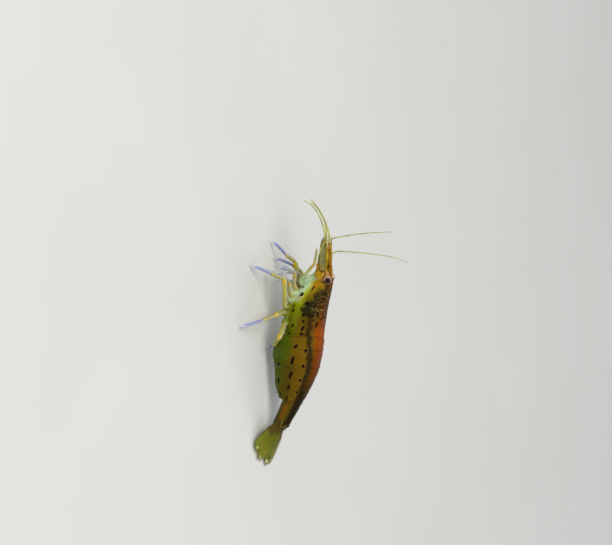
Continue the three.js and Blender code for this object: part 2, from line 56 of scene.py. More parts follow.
# Small maths.
def mix(a, b, t):
    return a + (b - a) * t


def ease(low, high, x):  # 0 below low, 1 above high
    t = np.clip((np.asarray(x, float) - low) / (high - low), 0, 1)
    return t * t * (3 - 2 * t)


def hump(x, centre, width):  # 1 at the centre, fading to both sides
    return np.exp(-(((np.asarray(x, float) - centre) / width) ** 2))


def arch(t):  # 0 at both ends and 1 half way
    return np.sin(math.pi * t)


def unit(v):
    v = np.asarray(v, float)
    return v / np.maximum(np.linalg.norm(v, axis=-1, keepdims=True), 1e-12)


def squareTo(way, v):  # the part of v that stands square to way, one long
    return unit(np.cross(np.cross(way, v), way))


def mirrored(points, side):  # points of the right side, brought to a side
    return [np.array((x, y * side, z), float) for x, y, z in points]


def through(places, values):  # a smooth curve through values at places, level beyond both ends
    xs, ys = np.array(places, float), np.array(values, float)
    slopes = np.gradient(ys, xs, axis=0)

    def read(x):
        x = np.clip(np.asarray(x, float), xs[0], xs[-1])
        i = np.clip(np.searchsorted(xs, x) - 1, 0, len(xs) - 2)
        h = xs[i + 1] - xs[i]
        t = (x - xs[i]) / h
        if ys.ndim > 1:
            t, h = t[..., None], h[..., None]
        a, b, da, db = ys[i], ys[i + 1], slopes[i] * h, slopes[i + 1] * h
        return a + t * (da + t * (3 * (b - a) - 2 * da - db + t * (2 * (a - b) + da + db)))

    return read


def pathThrough(points):  # the same through points in space, read from 0 to the last one's number
    points = np.array(points, float)
    steps = np.linalg.norm(np.diff(points, axis=0), axis=1) ** 0.5
    knots = np.concatenate([[0], np.cumsum(steps)])
    curve = through(knots, points)
    return lambda t: curve(np.interp(t, range(len(points)), knots))


def curveOf(points, count):  # count places on that curve, from end to end
    return pathThrough(points)(np.linspace(0, len(points) - 1, count))


# Mesh parts. A part is points in millimetres, faces, and two surface directions for each face corner.
def sheetPart(points, uv, wrap=False, caps=False):  # rows of points; wrap joins the last column to the first
    rows, cols = points.shape[:2]
    verts = points.reshape(-1, 3)
    faces, corners = [], []
    for r in range(rows - 1):
        for c in range(cols if wrap else cols - 1):
            d = (c + 1) % cols
            faces.append((r * cols + c, (r + 1) * cols + c, (r + 1) * cols + d, r * cols + d))
            corners.append((uv[r][c], uv[r + 1][c], uv[r + 1][c + 1], uv[r][c + 1]))
    for r in (0, rows - 1) if caps else ():
        verts = np.vstack([verts, points[r].mean(axis=0)])
        for c in range(cols):
            pair = (r * cols + c, r * cols + (c + 1) % cols)
            faces.append((*(pair if r == 0 else pair[::-1]), len(verts) - 1))
            corners.append((uv[r][c],) * 3)
    return verts, faces, corners


def closedPart(rings, places):  # rings of points with their places along the part, closed at both ends
    count = np.shape(rings)[1]
    uv = [[(c / count, v) for c in range(count + 1)] for v in places]
    return sheetPart(np.array(rings), uv, wrap=True, caps=True)


def tubePart(centres, radii, places=None, count=14, flat=1.0, lean=(0.3, 0.2, 1)):
    # A closed tube along centres. flat squeezes it along lean, and places are its second surface direction.
    centres = np.asarray(centres, float)
    ways = unit(np.gradient(centres, axis=0))
    side = unit(np.cross(ways[0], lean))
    angles = np.linspace(0, 2 * math.pi, count, endpoint=False)
    rings = []
    for centre, way, radius in zip(centres, ways, radii):
        side = unit(side - way * np.dot(side, way))
        up = np.cross(side, way)
        circle = np.outer(np.cos(angles), side) + flat * np.outer(np.sin(angles), up)
        rings.append(centre + radius * circle)
    return closedPart(rings, np.linspace(0, 1, len(centres)) if places is None else places)


def ballPart(centre, radii, axis=(0, 0, 1), columns=32, rows=20):
    # The second surface direction runs from the ball's foot (0) to its pole (1), which points along axis.
    turn = np.array(Vector(axis).to_track_quat("Z", "Y").to_matrix())
    angles = np.linspace(0.02, math.pi - 0.02, rows)[:, None]
    spin = -np.linspace(0, 2 * math.pi, columns, endpoint=False)[None, :]
    rings = [np.sin(angles) * np.cos(spin), np.sin(angles) * np.sin(spin), -np.cos(angles) + 0 * spin]
    points = (np.stack(rings, axis=-1) * radii) @ turn.T + np.array(centre)
    return closedPart(points, angles[:, 0] / math.pi)


def meshOf(name, parts, place):
    verts, faces, corners, base = [], [], [], 0
    for v, f, c in parts:
        verts.append(v)
        faces += [tuple(i + base for i in face) for face in f]
        corners += c
        base += len(v)
    mesh = bpy.data.meshes.new(name)
    mesh.from_pydata(place(np.vstack(verts)).tolist(), [], faces)
    layer = mesh.uv_layers.new(name="wrap")
    layer.data.foreach_set("uv", np.array([p for face in corners for p in face], np.float32).ravel())
    mesh.polygons.foreach_set("use_smooth", [True] * len(mesh.polygons))
    return mesh


def objectOf(name, mesh):
    obj = bpy.data.objects.new(name, mesh)
    bpy.context.collection.objects.link(obj)
    return obj


def baked(obj):  # its modifiers made part of the mesh
    fresh = bpy.data.meshes.new_from_object(obj.evaluated_get(bpy.context.evaluated_depsgraph_get()))
    obj.modifiers.clear()
    obj.data = fresh
    return obj


def walled(obj, depth):  # a sheet given its thickness, inwards
    wall = obj.modifiers.new("wall", "SOLIDIFY")
    wall.thickness = depth * mm
    wall.offset = -1
    return baked(obj)


def melted(parts, voxel, rounds):  # closed parts melted into one smooth skin
    obj = objectOf("melting", meshOf("melting", parts, np.asarray))
    remesh = obj.modifiers.new("remesh", "REMESH")
    remesh.mode = "VOXEL"
    remesh.voxel_size = voxel
    smooth = obj.modifiers.new("smooth", "SMOOTH")
    smooth.iterations = rounds
    mesh = baked(obj).data
    verts = np.empty(len(mesh.vertices) * 3)
    mesh.vertices.foreach_get("co", verts)
    faces = [tuple(face.vertices) for face in mesh.polygons]
    bpy.data.objects.remove(obj)
    return verts.reshape(-1, 3), faces, [((0, 0),) * len(face) for face in faces]


def finished(obj, slot, *nodes):
    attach(obj, "root")
    if nodes:
        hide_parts(*nodes)
    return obj


def buildPiece(name, parts, paint, slot, *nodes, wall=None):
    mesh = meshOf(name, parts, toFrame)
    mesh.materials.append(paint.material)
    piece = objectOf(name, mesh)
    return finished(walled(piece, wall) if wall else piece, slot, *nodes)


# Shader maths.
class Value:  # a socket that carries a number, or a colour on its way to another node
    def __init__(self, paint, socket):
        self.paint, self.socket = paint, socket

    def math(self, kind, *others, first=None):
        values = (self, *others) if first is None else (first, self)
        return self.paint.node("ShaderNodeMath", {"operation": kind}, dict(enumerate(values)))

    def __add__(self, other):
        return self.math("ADD", other)

    def __sub__(self, other):
        return self.math("SUBTRACT", other)

    def __rsub__(self, other):
        return self.math("SUBTRACT", first=other)

    def __mul__(self, other):
        return self.math("MULTIPLY", other)

    def __truediv__(self, other):
        return self.math("DIVIDE", other)

    def __abs__(self):
        return self.math("ABSOLUTE")

    __radd__, __rmul__ = __add__, __mul__


def tint(shade):  # a screen colour as linear light
    def linear(c):
        c /= 255
        return c / 12.92 if c <= 0.04045 else ((c + 0.055) / 1.055) ** 2.4

    return shade if isinstance(shade, Value) else (*map(linear, shade), 1.0)


class Paint:  # a material, its colour so far, and the ways to mix it; colours are red, green and blue of 255
    def __init__(self, name, **fixed):
        self.material = bpy.data.materials.new(name)
        self.material.use_nodes = True
        self.tree = self.material.node_tree
        self.tree.nodes.clear()
        self.shader = self.tree.nodes.new("ShaderNodeBsdfPrincipled")
        self.colour = None
        output = self.tree.nodes.new("ShaderNodeOutputMaterial")
        self.tree.links.new(self.shader.outputs[0], output.inputs[0])
        self.feed(IOR=1.45, **fixed)

    def node(self, kind, settings=None, sockets=None, out=0):
        made = self.tree.nodes.new(kind)
        for key, value in (settings or {}).items():
            if key == "stops":
                ramp = made.color_ramp.elements
                while len(ramp) < len(value):
                    ramp.new(1)
                for element, (place, *shade) in zip(ramp, value):
                    element.position, element.color = place, tint(shade)
            else:
                setattr(made, key, value)
        for key, value in (sockets or {}).items():
            self.plug(made.inputs[key], value)
        return Value(self, made.outputs[out])

    def plug(self, socket, value):
        if isinstance(value, Value):
            self.tree.links.new(value.socket, socket)
        else:
            socket.default_value = value

    def feed(self, **values):
        for name, value in values.items():
            self.plug(self.shader.inputs[name.replace("_", " ")], value)

    def step(self, value, low, high):  # 0 below low, 1 above high
        ranges = {0: value, 1: low, 2: high, 3: 0.0, 4: 1.0}
        return self.node("ShaderNodeMapRange", {"interpolation_type": "SMOOTHSTEP"}, ranges)

    def fade(self, value, low, high):  # 1 below low, 0 above high
        return 1 - self.step(value, low, high)

    def band(self, value, centre, half, soft=0.5):  # 1 within half of the centre, fading by soft of it
        return self.fade(abs(value - centre), half * (1 - soft), half * (1 + soft))

    def waves(self, value, low, high):
        return self.step(value.math("SINE"), low, high)

    def blend(self, factor, under, over):
        settings = {"data_type": "RGBA", "clamp_factor": True}
        return self.node("ShaderNodeMix", settings, {0: factor, 6: tint(under), 7: tint(over)}, out=2)

    def lay(self, mask, shade):  # a colour laid over the paint where the mask is 1
        self.colour = self.blend(mask, self.colour, shade)

    def ramp(self, value, *stops):  # stops are a place and its colour
        return self.node("ShaderNodeValToRGB", {"stops": stops}, {0: value})

    def wrap(self):  # the piece's own two surface directions
        pair = self.node("ShaderNodeUVMap", {"uv_map": "wrap"})
        return tuple(self.node("ShaderNodeSeparateXYZ", None, {0: pair}, out=i) for i in (0, 1))

    def spot(self):
        return self.node("ShaderNodeTexCoord", out=3)

    def place(self, axis):  # how far along x (0), y (1) or z (2) a point lies, in this script's millimetres
        return (self.node("ShaderNodeSeparateXYZ", None, {0: self.spot()}, out=axis) - shift[axis]) / mm

    def noise(self, size, detail=3.0):  # size of a blotch in millimetres, values round 0
        sockets = {"Vector": self.spot(), "Scale": 1 / (size * mm), "Detail": detail, "Roughness": 0.55}
        return self.node("ShaderNodeTexNoise", None, sockets) - 0.5

    def freckles(self, size, share):  # scattered grains, 1 on a grain
        return self.step(self.noise(size, 1.0), 0.3 - 0.3 * share, 0.36 - 0.3 * share)

    def facets(self, size):
        sockets = {"Vector": self.spot(), "Scale": 1 / (size * mm), "Randomness": 0.3}
        return self.node("ShaderNodeTexVoronoi", {"feature": "DISTANCE_TO_EDGE"}, sockets)

    def dots(self, k, v, dots, perV):
        # How dark the painted dots make a point. A dot is (k, v, half width, half length, slant), its two
        # sizes in millimetres, and perV is how many millimetres v counts as 1.
        total = None
        wobble = self.noise(0.3, 1.0) * 0.5  # makes the dots' edges uneven
        for kDot, vDot, across, long, slant in dots:
            perK = shellRound["upper"] if kDot < 0.6 else shellRound["lower"]
            alongV = (v - vDot) * (perV / long)
            acrossK = (k - kDot) * (perK / across) - alongV * slant
            dark = self.fade(acrossK * acrossK + alongV * alongV + wobble, 0.6, 1.4)
            total = dark if total is None else total.math("MAXIMUM", dark)
        return total

    def finish(self, relief, depth, strength=0.5, **values):  # feeds the colour, the relief and the rest
        sockets = {"Height": relief, "Distance": depth * mm, "Strength": strength}
        self.feed(Base_Color=self.colour, Normal=self.node("ShaderNodeBump", None, sockets), **values)
        return self


# Geometry Nodes trees.
def newTree(name, *inputs):  # each input is its label, kind and value
    tree = bpy.data.node_groups.new(name, "GeometryNodeTree")
    tree.interface.new_socket("Geometry", in_out="INPUT", socket_type="NodeSocketGeometry")
    for label, kind, value in inputs:
        socket = tree.interface.new_socket(label, in_out="INPUT", socket_type="NodeSocket" + kind)
        if value is not None:
            socket.default_value = value
    tree.interface.new_socket("Geometry", in_out="OUTPUT", socket_type="NodeSocketGeometry")

    def add(kind, settings=None, sockets=None, out=0):
        made = tree.nodes.new(kind)
        for key, value in (settings or {}).items():
            setattr(made, key, value)
        for key, value in (sockets or {}).items():
            if isinstance(value, bpy.types.NodeSocket):
                tree.links.new(value, made.inputs[key])
            else:
                made.inputs[key].default_value = value
        return made.outputs[out] if len(made.outputs) else None

    def calc(kind, *values):
        return add("ShaderNodeMath", {"operation": kind}, dict(enumerate(values)))

    def finish(shape, material):  # the tree's last nodes
        shape = add("GeometryNodeSetShadeSmooth", None, {0: shape})
        shape = add("GeometryNodeRealizeInstances", None, {0: shape})
        shape = add("GeometryNodeSetMaterial", None, {"Geometry": shape, "Material": material})
        add("NodeGroupOutput", None, {0: shape})
        return tree

    return add, calc, finish, tree.nodes.new("NodeGroupInput").outputs


def grown(obj, tree, **values):  # runs a tree on an object and keeps the plain mesh it makes
    growth = obj.modifiers.new("growth", "NODES")
    growth.node_group = tree
    ids = {item.name: item.identifier for item in tree.interface.items_tree if item.in_out == "INPUT"}
    for key, value in values.items():
        growth[ids[key]] = value
    return baked(obj)


def bristleTree():  # a tapered bristle on each point, along its aim and as long as its reach
    add, calc, finish, source = newTree(
        "bristleTree", ("Thickness", "Float", 0.03 * mm), ("Scatter", "Float", 0.15),
        ("Sharpness", "Float", 0.85), ("Seed", "Int", 3), ("Hair", "Material", None))
    top = calc("MULTIPLY", calc("SUBTRACT", 1.0, source["Sharpness"]), 0.5)
    cone = add("GeometryNodeMeshCone", {"fill_type": "NGON"},
               {"Vertices": 4, "Side Segments": 2, "Radius Top": top, "Radius Bottom": 0.5, "Depth": 1.0})
    aim = add("GeometryNodeInputNamedAttribute", {"data_type": "FLOAT_VECTOR"}, {"Name": "aim"})
    reach = add("GeometryNodeInputNamedAttribute", {"data_type": "FLOAT"}, {"Name": "reach"})
    stray = add("FunctionNodeRandomValue", {"data_type": "FLOAT_VECTOR"},
                {0: (-1, -1, -1), 1: (1, 1, 1), "Seed": source["Seed"]})
    stray = add("ShaderNodeVectorMath", {"operation": "SCALE"}, {0: stray, "Scale": source["Scatter"]})
    way = add("ShaderNodeVectorMath", {"operation": "ADD"}, {0: aim, 1: stray})
    turn = add("FunctionNodeAlignRotationToVector", {"axis": "Z"}, {"Vector": way})
    share = add("FunctionNodeRandomValue", {"data_type": "FLOAT"},
                {2: 0.8, 3: 1.05, "Seed": source["Seed"]}, out=1)
    wide = source["Thickness"]
    size = add("ShaderNodeCombineXYZ", None, {0: wide, 1: wide, 2: calc("MULTIPLY", reach, share)})
    many = add("GeometryNodeInstanceOnPoints", None,
               {"Points": source["Geometry"], "Instance": cone, "Rotation": turn, "Scale": size})
    return finish(many, source["Hair"])


def whipTree():  # a ringed, tapering whip along a path
    add, calc, finish, source = newTree(
        "whipTree", ("Root Radius", "Float", 0.14 * mm), ("Tip Radius", "Float", 0.05 * mm),
        ("Ring Length", "Float", 0.24 * mm), ("Ring Depth", "Float", 0.14), ("Skin", "Material", None))
    path = add("GeometryNodeMeshToCurve", None, {0: source["Geometry"]})
    stride = calc("MULTIPLY", source["Ring Length"], 0.25)
    path = add("GeometryNodeResampleCurve", {"mode": "LENGTH"}, {"Curve": path, "Length": stride})
    length = add("GeometryNodeSplineParameter", out=1)
    part = add("GeometryNodeSplineParameter")
    saw = calc("FRACT", calc("DIVIDE", length, source["Ring Length"]))
    swell = calc("MULTIPLY_ADD", saw, source["Ring Depth"], 1.0)
    taper = add("ShaderNodeMapRange", None, {0: part, 3: source["Root Radius"], 4: source["Tip Radius"]})
    path = add("GeometryNodeStoreNamedAttribute", {"data_type": "FLOAT", "domain": "POINT"},
               {"Geometry": path, "Name": "length", "Value": calc("DIVIDE", length, mm)})
    ring = add("GeometryNodeCurvePrimitiveCircle", {"mode": "RADIUS"}, {"Resolution": 8, "Radius": 1.0})
    width = calc("MULTIPLY", swell, taper)
    tube = add("GeometryNodeCurveToMesh", None,
               {"Curve": path, "Profile Curve": ring, "Scale": width, "Fill Caps": True})
    length = add("GeometryNodeInputNamedAttribute", {"data_type": "FLOAT"}, {"Name": "length"})
    pair = add("ShaderNodeCombineXYZ", None, {1: length})
    tube = add("GeometryNodeStoreNamedAttribute", {"data_type": "FLOAT2", "domain": "CORNER"},
               {"Geometry": tube, "Name": "wrap", "Value": pair})
    return finish(tube, source["Skin"])


bristles = bristleTree()
whips = whipTree()


def bristlePiece(name, roots, aims, reach, hair, thickness, scatter, slot):
    roots, aims, clearance = np.array(roots), unit(aims), 0.04
    lowest = clearance + scatter * reach  # no bristle reaches into the floor
    aims[:, 2] = np.maximum(aims[:, 2], (lowest - roots[:, 2]) / reach)
    mesh = bpy.data.meshes.new(name)
    mesh.from_pydata(toFrame(roots).tolist(), [], [])
    aim = mesh.attributes.new("aim", "FLOAT_VECTOR", "POINT")
    aim.data.foreach_set("vector", unit(aims).astype(np.float32).ravel())
    tall = mesh.attributes.new("reach", "FLOAT", "POINT")
    tall.data.foreach_set("value", np.full(len(roots), reach * mm, np.float32))
    sizes = {"Thickness": thickness * mm, "Scatter": scatter}
    return finished(grown(objectOf(name, mesh), bristles, Hair=hair.material, **sizes), slot)


def whipPiece(name, points, radii, skin, slot, node):
    count, (root, tip) = 90, radii
    mesh = bpy.data.meshes.new(name)
    mesh.from_pydata(toFrame(curveOf(points, count)).tolist(), [(i, i + 1) for i in range(count - 1)], [])
    sizes = {"Root Radius": root * mm, "Tip Radius": tip * mm, "Ring Length": whipShape["ring"] * mm}
    return finished(grown(objectOf(name, mesh), whips, Skin=skin.material, **sizes), slot, node)


print("tools ready")

# The trunk: its middle line at the seams between the abdomen's six rings, and its sizes there.
trunk = {
    "seams": [(1, 0, 9.1), (3.25, 0, 8.9), (6.65, 0, 8.45), (9.2, 0, 7.7), (11.6, -0.05, 6.8),
              (13.8, -0.25, 5.85), (18.2, -0.9, 3.95)],
    "back": [2.9, 2.8, 2.5, 2.15, 1.8, 1.5, 1.1],
    "flesh": [3.1, 2.8, 2.5, 2.15, 1.75, 1.45, 1.0],
    "width": [3.2, 3.15, 3.0, 2.7, 2.35, 1.95, 1.35],
    "flap": [6.1, 6.5, 6.0, 5.2, 4.3, 1.95],
    "wall": 0.1, "beyond": 2,  # beyond its ends, the line runs on by this much for each ring
}
ringCount = len(trunk["flap"])
spine = pathThrough(trunk["seams"])
backAt, fleshAt, widthAt = (through(range(ringCount + 1), trunk[key]) for key in ("back", "flesh", "width"))
flapAt = through(range(ringCount), trunk["flap"])
# k runs from the back (0) round one side to the middle of the belly (1). On the way lie the widest place
# and the edge where a shell ends.
widestK, shellEdge = 0.5, 0.9


def spineAt(s):  # the middle line at s rings from its start, with the ways up, across and along there
    s, near = np.asarray(s, float), 0.01
    inside = np.clip(s, 0, ringCount)
    along = unit(spine(np.minimum(inside + near, ringCount)) - spine(np.maximum(inside - near, 0)))
    across = unit(np.cross((0, 0, 1), along))
    beyond = (s - inside) * trunk["beyond"]
    return spine(inside) + along * beyond[..., None], np.cross(along, across), across, along


def girth(k, up, drop, half, tuck):  # a section's point sideways and upwards; k is below 0 on the left side
    side, k = np.sign(k), np.abs(k)
    angle = np.minimum(k / widestK, 1) * math.pi / 2
    low = np.clip((k - widestK) / (shellEdge - widestK), 0, 1)
    under = np.clip((1 - k) / (1 - shellEdge), 0, 1)
    upwards = up * np.maximum(np.cos(angle), 0) ** 0.9 - drop * low
    return side * half * np.sin(angle) * (1 - tuck * low**2) * under, upwards


def shellGrid(shape, start=0.0, end=1.0):  # k across and t along a shell
    k = np.linspace(-shellEdge, shellEdge, shape["columns"])[None, :]
    return k, np.linspace(start, end, shape["rows"])[:, None]


def shellPart(points, k, lengths):  # a shell's second surface direction is its lengths
    uv = [[(0.5 + 0.5 * a / shellEdge, b) for a, b in zip(k[0], row)] for row in lengths]
    return sheetPart(points, uv)


# Six ring plates, each tucked under the one in front. The second one's side flaps lie over both neighbours'.
ringShape = {"rows": 46, "columns": 170, "tucked": 0.13, "over": 0.05, "spread": 0.26, "proud": 0.22,
             "scallop": 0.04, "corner": 0.5, "hem": 0.035}
ringRise = through([-0.13, -0.02, 0.1, 0.16, 0.5, 0.88, 0.95, 1.05],
                   [-0.17, -0.13, 0.01, 0.04, 0.05, 0.04, 0.1, 0.07])


def ringPart(i):
    last, second = i == ringCount - 1, i == 1
    shape = ringShape
    k, t = shellGrid(shape, -shape["tucked"], 1.0 if last else 1 + shape["over"])
    low = ease(0.4, 0.65, np.abs(k))
    corner = shape["corner"] * ease(0.75, 1, t) * ease(0, 0.5, np.abs(k))
    s = i + t + (corner if last else low * (shape["spread"] * (2 * t - 1) if second else 0.1 * t))
    rise = ringRise(t) + (shape["proud"] * low if second else 0)
    rise = rise + shape["hem"] * ease(0.855, 0.885, np.abs(k))
    drop = trunk["flap"][i] if last else flapAt(s - 0.5) * (1 - shape["scallop"] * np.abs(2 * t - 1) ** 4)
    y, h = girth(k, backAt(s) + rise, drop, widthAt(s) + rise, 0.45 if last else 0.2)
    middle, up, across, _ = spineAt(s)
    points = middle + up * h[..., None] + across * y[..., None]
    return shellPart(points, k, i + t + 0 * k if last else s)


# The carapace, a half tube open below, with a notch for the eye and a spine below it.
carapaceShape = {
    "rows": 120, "columns": 200, "frontEnd": -10.9,
    "back": through([-10.9, -9.6, -7.6, -4.8, -2.4, 0.94], [14.15, 14.0, 13.5, 12.8, 12.4, 11.9]),
    "low": through([-10.9, -10.4, -9.4, -7.2, -4.0, -1.2, 0.3, 0.94],
                   [11.7, 10.1, 8.6, 7.15, 5.85, 5.2, 5.0, 5.25]),
    "half": through([-10.9, -9.6, -7.4, -4.4, -1.4, 0.94], [1.35, 2.05, 2.75, 3.2, 3.3, 3.2]),
    "front": through([0, 0.07, 0.15, 0.27, 0.42, 0.54, 0.64, 0.74, 0.84, 0.9],
                     [-10.9, -10.75, -10.2, -9.75, -9.85, -10.5, -10.75, -10.6, -10.1, -9.5]),
    "rear": through([0, 0.3, 0.5, 0.7, 0.84, 0.9], [0.92, 0.84, 0.66, 0.8, 0.6, 0.1]),
    "spineAt": 0.62, "spineReach": 0.6, "ridge": 0.16, "swelling": 0.1, "groove": 0.09, "crease": 0.05,
    "hems": (0.05, 0.06, 0.04),
}


def carapacePart():
    shape = carapaceShape
    k, t = shellGrid(shape)
    a = np.abs(k)
    front = shape["front"](a) - shape["spineReach"] * hump(a, shape["spineAt"], 0.022)
    x = mix(front, shape["rear"](a), t)
    rise = shape["ridge"] * hump(a, 0, 0.035) * ease(-6.0, -10.0, x)  # the ridge that runs into the rostrum
    rise = rise + shape["swelling"] * hump(a, 0.34, 0.2) * hump(x, -7.0, 2.2)  # over the stomach
    groove = hump(x, -5.7 - 4.2 * a, 0.3) * ease(0.06, 0.16, a) * ease(0.72, 0.6, a)
    rise = rise - shape["groove"] * groove - shape["crease"] * hump(a, 0.46, 0.03) * ease(-5.5, -4.0, x)
    lower, rear, fore = shape["hems"]
    rise = rise + lower * ease(0.86, 0.885, a) + rear * ease(0.965, 0.985, t) + fore * ease(0.03, 0.01, t)
    top, low = shape["back"](x), shape["low"](x)
    middle = mix(low, top, 0.52)
    y, h = girth(k, top - middle + rise, middle - low + rise, shape["half"](x) + rise, 0.26)
    return shellPart(np.stack([x + 0 * y, y, middle + h], axis=-1), k, x - shape["frontEnd"])


# The rostrum, a saw-edged blade in the middle plane.
rostrumShape = {
    "tip": -17.0, "root": -8.0, "teeth": 23, "tooth": 0.2,
    "rootBelow": -11.0, "teethBelow": 11, "toothBelow": 0.12, "rib": 0.17, "edge": 0.05,
    "keel": through([-17, -14.5, -12.5, -10.6, -8.0], [13.4, 13.7, 13.95, 13.9, 13.45]),
    "deep": through([-17, -16.4, -14.4, -8.3], [0.1, 0.34, 0.56, 0.95]),
}


def rostrumPart():
    shape = rostrumShape
    tip, root, edge = shape["tip"], shape["root"], shape["edge"]
    xs = np.linspace(tip, root, shape["teeth"] * 10)

    def saw(start, teeth):
        return (1 - ((xs - tip) / ((start - tip) / teeth)) % 1) ** 1.6

    top = shape["keel"](xs) + 0.04 + shape["tooth"] * (saw(root, shape["teeth"]) * ease(0, 0.5, xs - tip))
    teethBelow = saw(shape["rootBelow"], shape["teethBelow"]) * ease(-11.2, -11.8, xs)
    bottom = shape["keel"](xs) - shape["deep"](xs) - shape["toothBelow"] * teethBelow
    rib = mix(bottom, top, 0.5)
    wide = shape["rib"] * ease(-17.3, -15, xs) * (1 + 0.9 * ease(-11.5, -9.5, xs)) + 0.03
    outline = [(edge, top), (wide * 0.55, mix(rib, top, 0.45)), (wide, rib + 0.06), (wide, rib - 0.06),
               (wide * 0.5, mix(rib, bottom, 0.5)), (edge, bottom)]
    outline += [(-y, z) for y, z in outline[::-1]]
    points = np.stack([np.stack([xs, 0 * xs + y, z], axis=-1) for y, z in outline], axis=1)
    return closedPart(points, (xs - tip) / (root - tip))


# Jointed limbs: each joint is a closed tube, narrow where it enters the one before and flared where it ends.
# Its radii are at its start and end, with a share that it swells by half way.
def jointPart(a, b, radii, number, bow=0.0, flat=1.0):
    r0, r1, swell = radii
    t = np.linspace(0, 1, 22)
    rise = squareTo(b - a, (0, 0, 1))
    centres = a + np.outer(t, b - a) + np.outer(bow * arch(t), rise)
    radii = mix(r0, r1, t) * (1 + swell * arch(t)) * (0.72 + 0.28 * ease(0, 0.14, t))
    radii = radii * (1 + 0.12 * hump(t, 0.96, 0.05)) * (1 - 0.5 * ease(0.985, 1.0, t))
    return tubePart(centres, radii, number + t * 0.999, 14, flat, lean=rise)


def clawPart(a, b, radius, number):  # a curved, pointed last joint
    t = np.linspace(0, 1, 18)
    side = unit(np.cross(b - a, (0, 0, 1)))
    centres = a + np.outer(t, b - a) + np.outer(0.25 * arch(t), unit(np.cross(b - a, side)))
    return tubePart(centres, radius * (1 - t) ** 0.7 + 0.025, number + t * 0.999, 12)


def chain(points, radii):  # joints end to end, each pushed a little into the one before
    parts, overlap = [], 0.1
    for i, (a, b) in enumerate(zip(points, points[1:])):
        parts.append(jointPart(a - unit(b - a) * overlap * (i > 0), b, radii[i], i))
    return parts


# Each leg's joints, from the hip to the foot. A positive y is outwards.
walkingLegs = {
    "leg_3_left": [(-5.1, 1.6, 6.1), (-5.1, 3.2, 5), (-10.6, 4.6, 5.65), (-11.7, 5.9, 3.4),
                   (-13.15, 8.7, 0.9), (-13.4, 9.2, 0)],
    "leg_4_left": [(-3.7, 1.6, 5.8), (-4, 3.4, 4.6), (-3.5, 8.1, 5.3), (-2.6, 10.5, 3.8),
                   (-1.4, 13.7, 0.9), (-1.2, 14.1, 0)],
    "leg_5_left": [(-2.2, 1.6, 5.6), (-1.7, 2.7, 4.75), (1.1, 5.6, 4.9), (2.5, 4.1, 3.2), (3, 1.5, 0.85),
                   (3.1, 1, 0)],
    "leg_3_right": [(-5.1, 1.6, 6.1), (-7.9, 3, 5.3), (-14, 2.3, 4.95), (-15.4, 1.6, 3.25),
                    (-18.05, 0.6, 0.9), (-18.4, 0.5, 0)],
    "leg_4_right": [(-3.7, 1.6, 5.8), (-6.2, 3.9, 5.95), (-12, 3.8, 5.6), (-13.4, 3.2, 3.9),
                    (-14.8, 1.9, 0.9), (-15, 1.7, 0)],
    "leg_5_right": [(-2.2, 1.6, 5.6), (-1.1, 3.1, 5.1), (2.2, 6, 5.4), (3, 7.2, 3.6), (2.9, 8.4, 0.9),
                    (2.9, 8.6, 0)],
}
pincerLegs = {
    "leg_1_left": [(-7.9, 1.4, 7.2), (-9.4, 2.2, 6.6), (-11.7, 2.6, 7.1), (-12.6, 2.7, 5.6),
                   (-13, 2.6, 4.2)],
    "leg_2_left": [(-6.6, 1.5, 6.6), (-7.9, 2.7, 5.9), (-9.9, 3.3, 6.2), (-11, 3.4, 4.8),
                   (-11.4, 3.2, 3.3)],
    "leg_1_right": [(-7.9, 1.4, 7.2), (-9.2, 1.6, 6.3), (-11.4, 1.3, 6.6), (-12, 1, 5.2),
                    (-12.1, 0.8, 3.9)],
    "leg_2_right": [(-6.6, 1.4, 6.6), (-7.6, 1.5, 5.5), (-9.5, 1.1, 5.5), (-10.2, 0.9, 4.1),
                    (-10.3, 0.7, 2.9)],
}
walkingShape = {
    "radii": [(0.64, 0.56, 0.1), (0.53, 0.5, 0.1), (0.36, 0.37, 0.1), (0.28, 0.25, 0.1)],
    "bow": (0, 0.16, 0, 0.12), "flat": (1, 0.86, 0.95, 1), "overlap": 0.12, "spines": 7,
    "claw": 0.2, "clawSpines": 4, "clearance": 0.05, "spine": 0.26,
}
pincerShape = {
    "radii": [(0.5, 0.44, 0.12), (0.4, 0.38, 0.12), (0.3, 0.4, 0), (0.4, 0.42, 0.12)],
    "finger": 1.2, "fingerRadius": 0.24, "gape": 0.36, "brush": 0.95, "brushHairs": 70,
}


def sideOf(name):
    return sides[name.split("_")[-1]]


def walkingLeg(name, joints):  # its parts, and the roots and aims of its spines
    points, shape = mirrored(joints, sideOf(name)), walkingShape
    parts, roots, aims = [], [], []
    for i, (a, b) in enumerate(zip(points, points[1:])):
        way = unit(b - a)
        down = squareTo(way, (0, 0, -1))
        if i == len(shape["radii"]):
            tip = np.array((b[0], b[1], shape["clearance"]))
            parts.append(clawPart(a - way * 0.15, tip, shape["claw"], i))
            for f in np.linspace(0.25, 0.7, shape["clawSpines"]):
                roots.append(mix(a, tip, f) + down * 0.06)
                aims.append(down + way * 1.2)
            continue
        radii, bow, flat = (shape[key][i] for key in ("radii", "bow", "flat"))
        parts.append(jointPart(a - way * shape["overlap"] * (i > 0), b, radii, i, bow, flat))
        for f in np.linspace(0.2, 0.96, shape["spines"]) if i in (1, 3) else ():
            roots.append(mix(a, b, f) + down * mix(*radii[:2], f) * 0.95)
            aims.append(down * 0.8 + way * 1.4)
    return parts, roots, aims


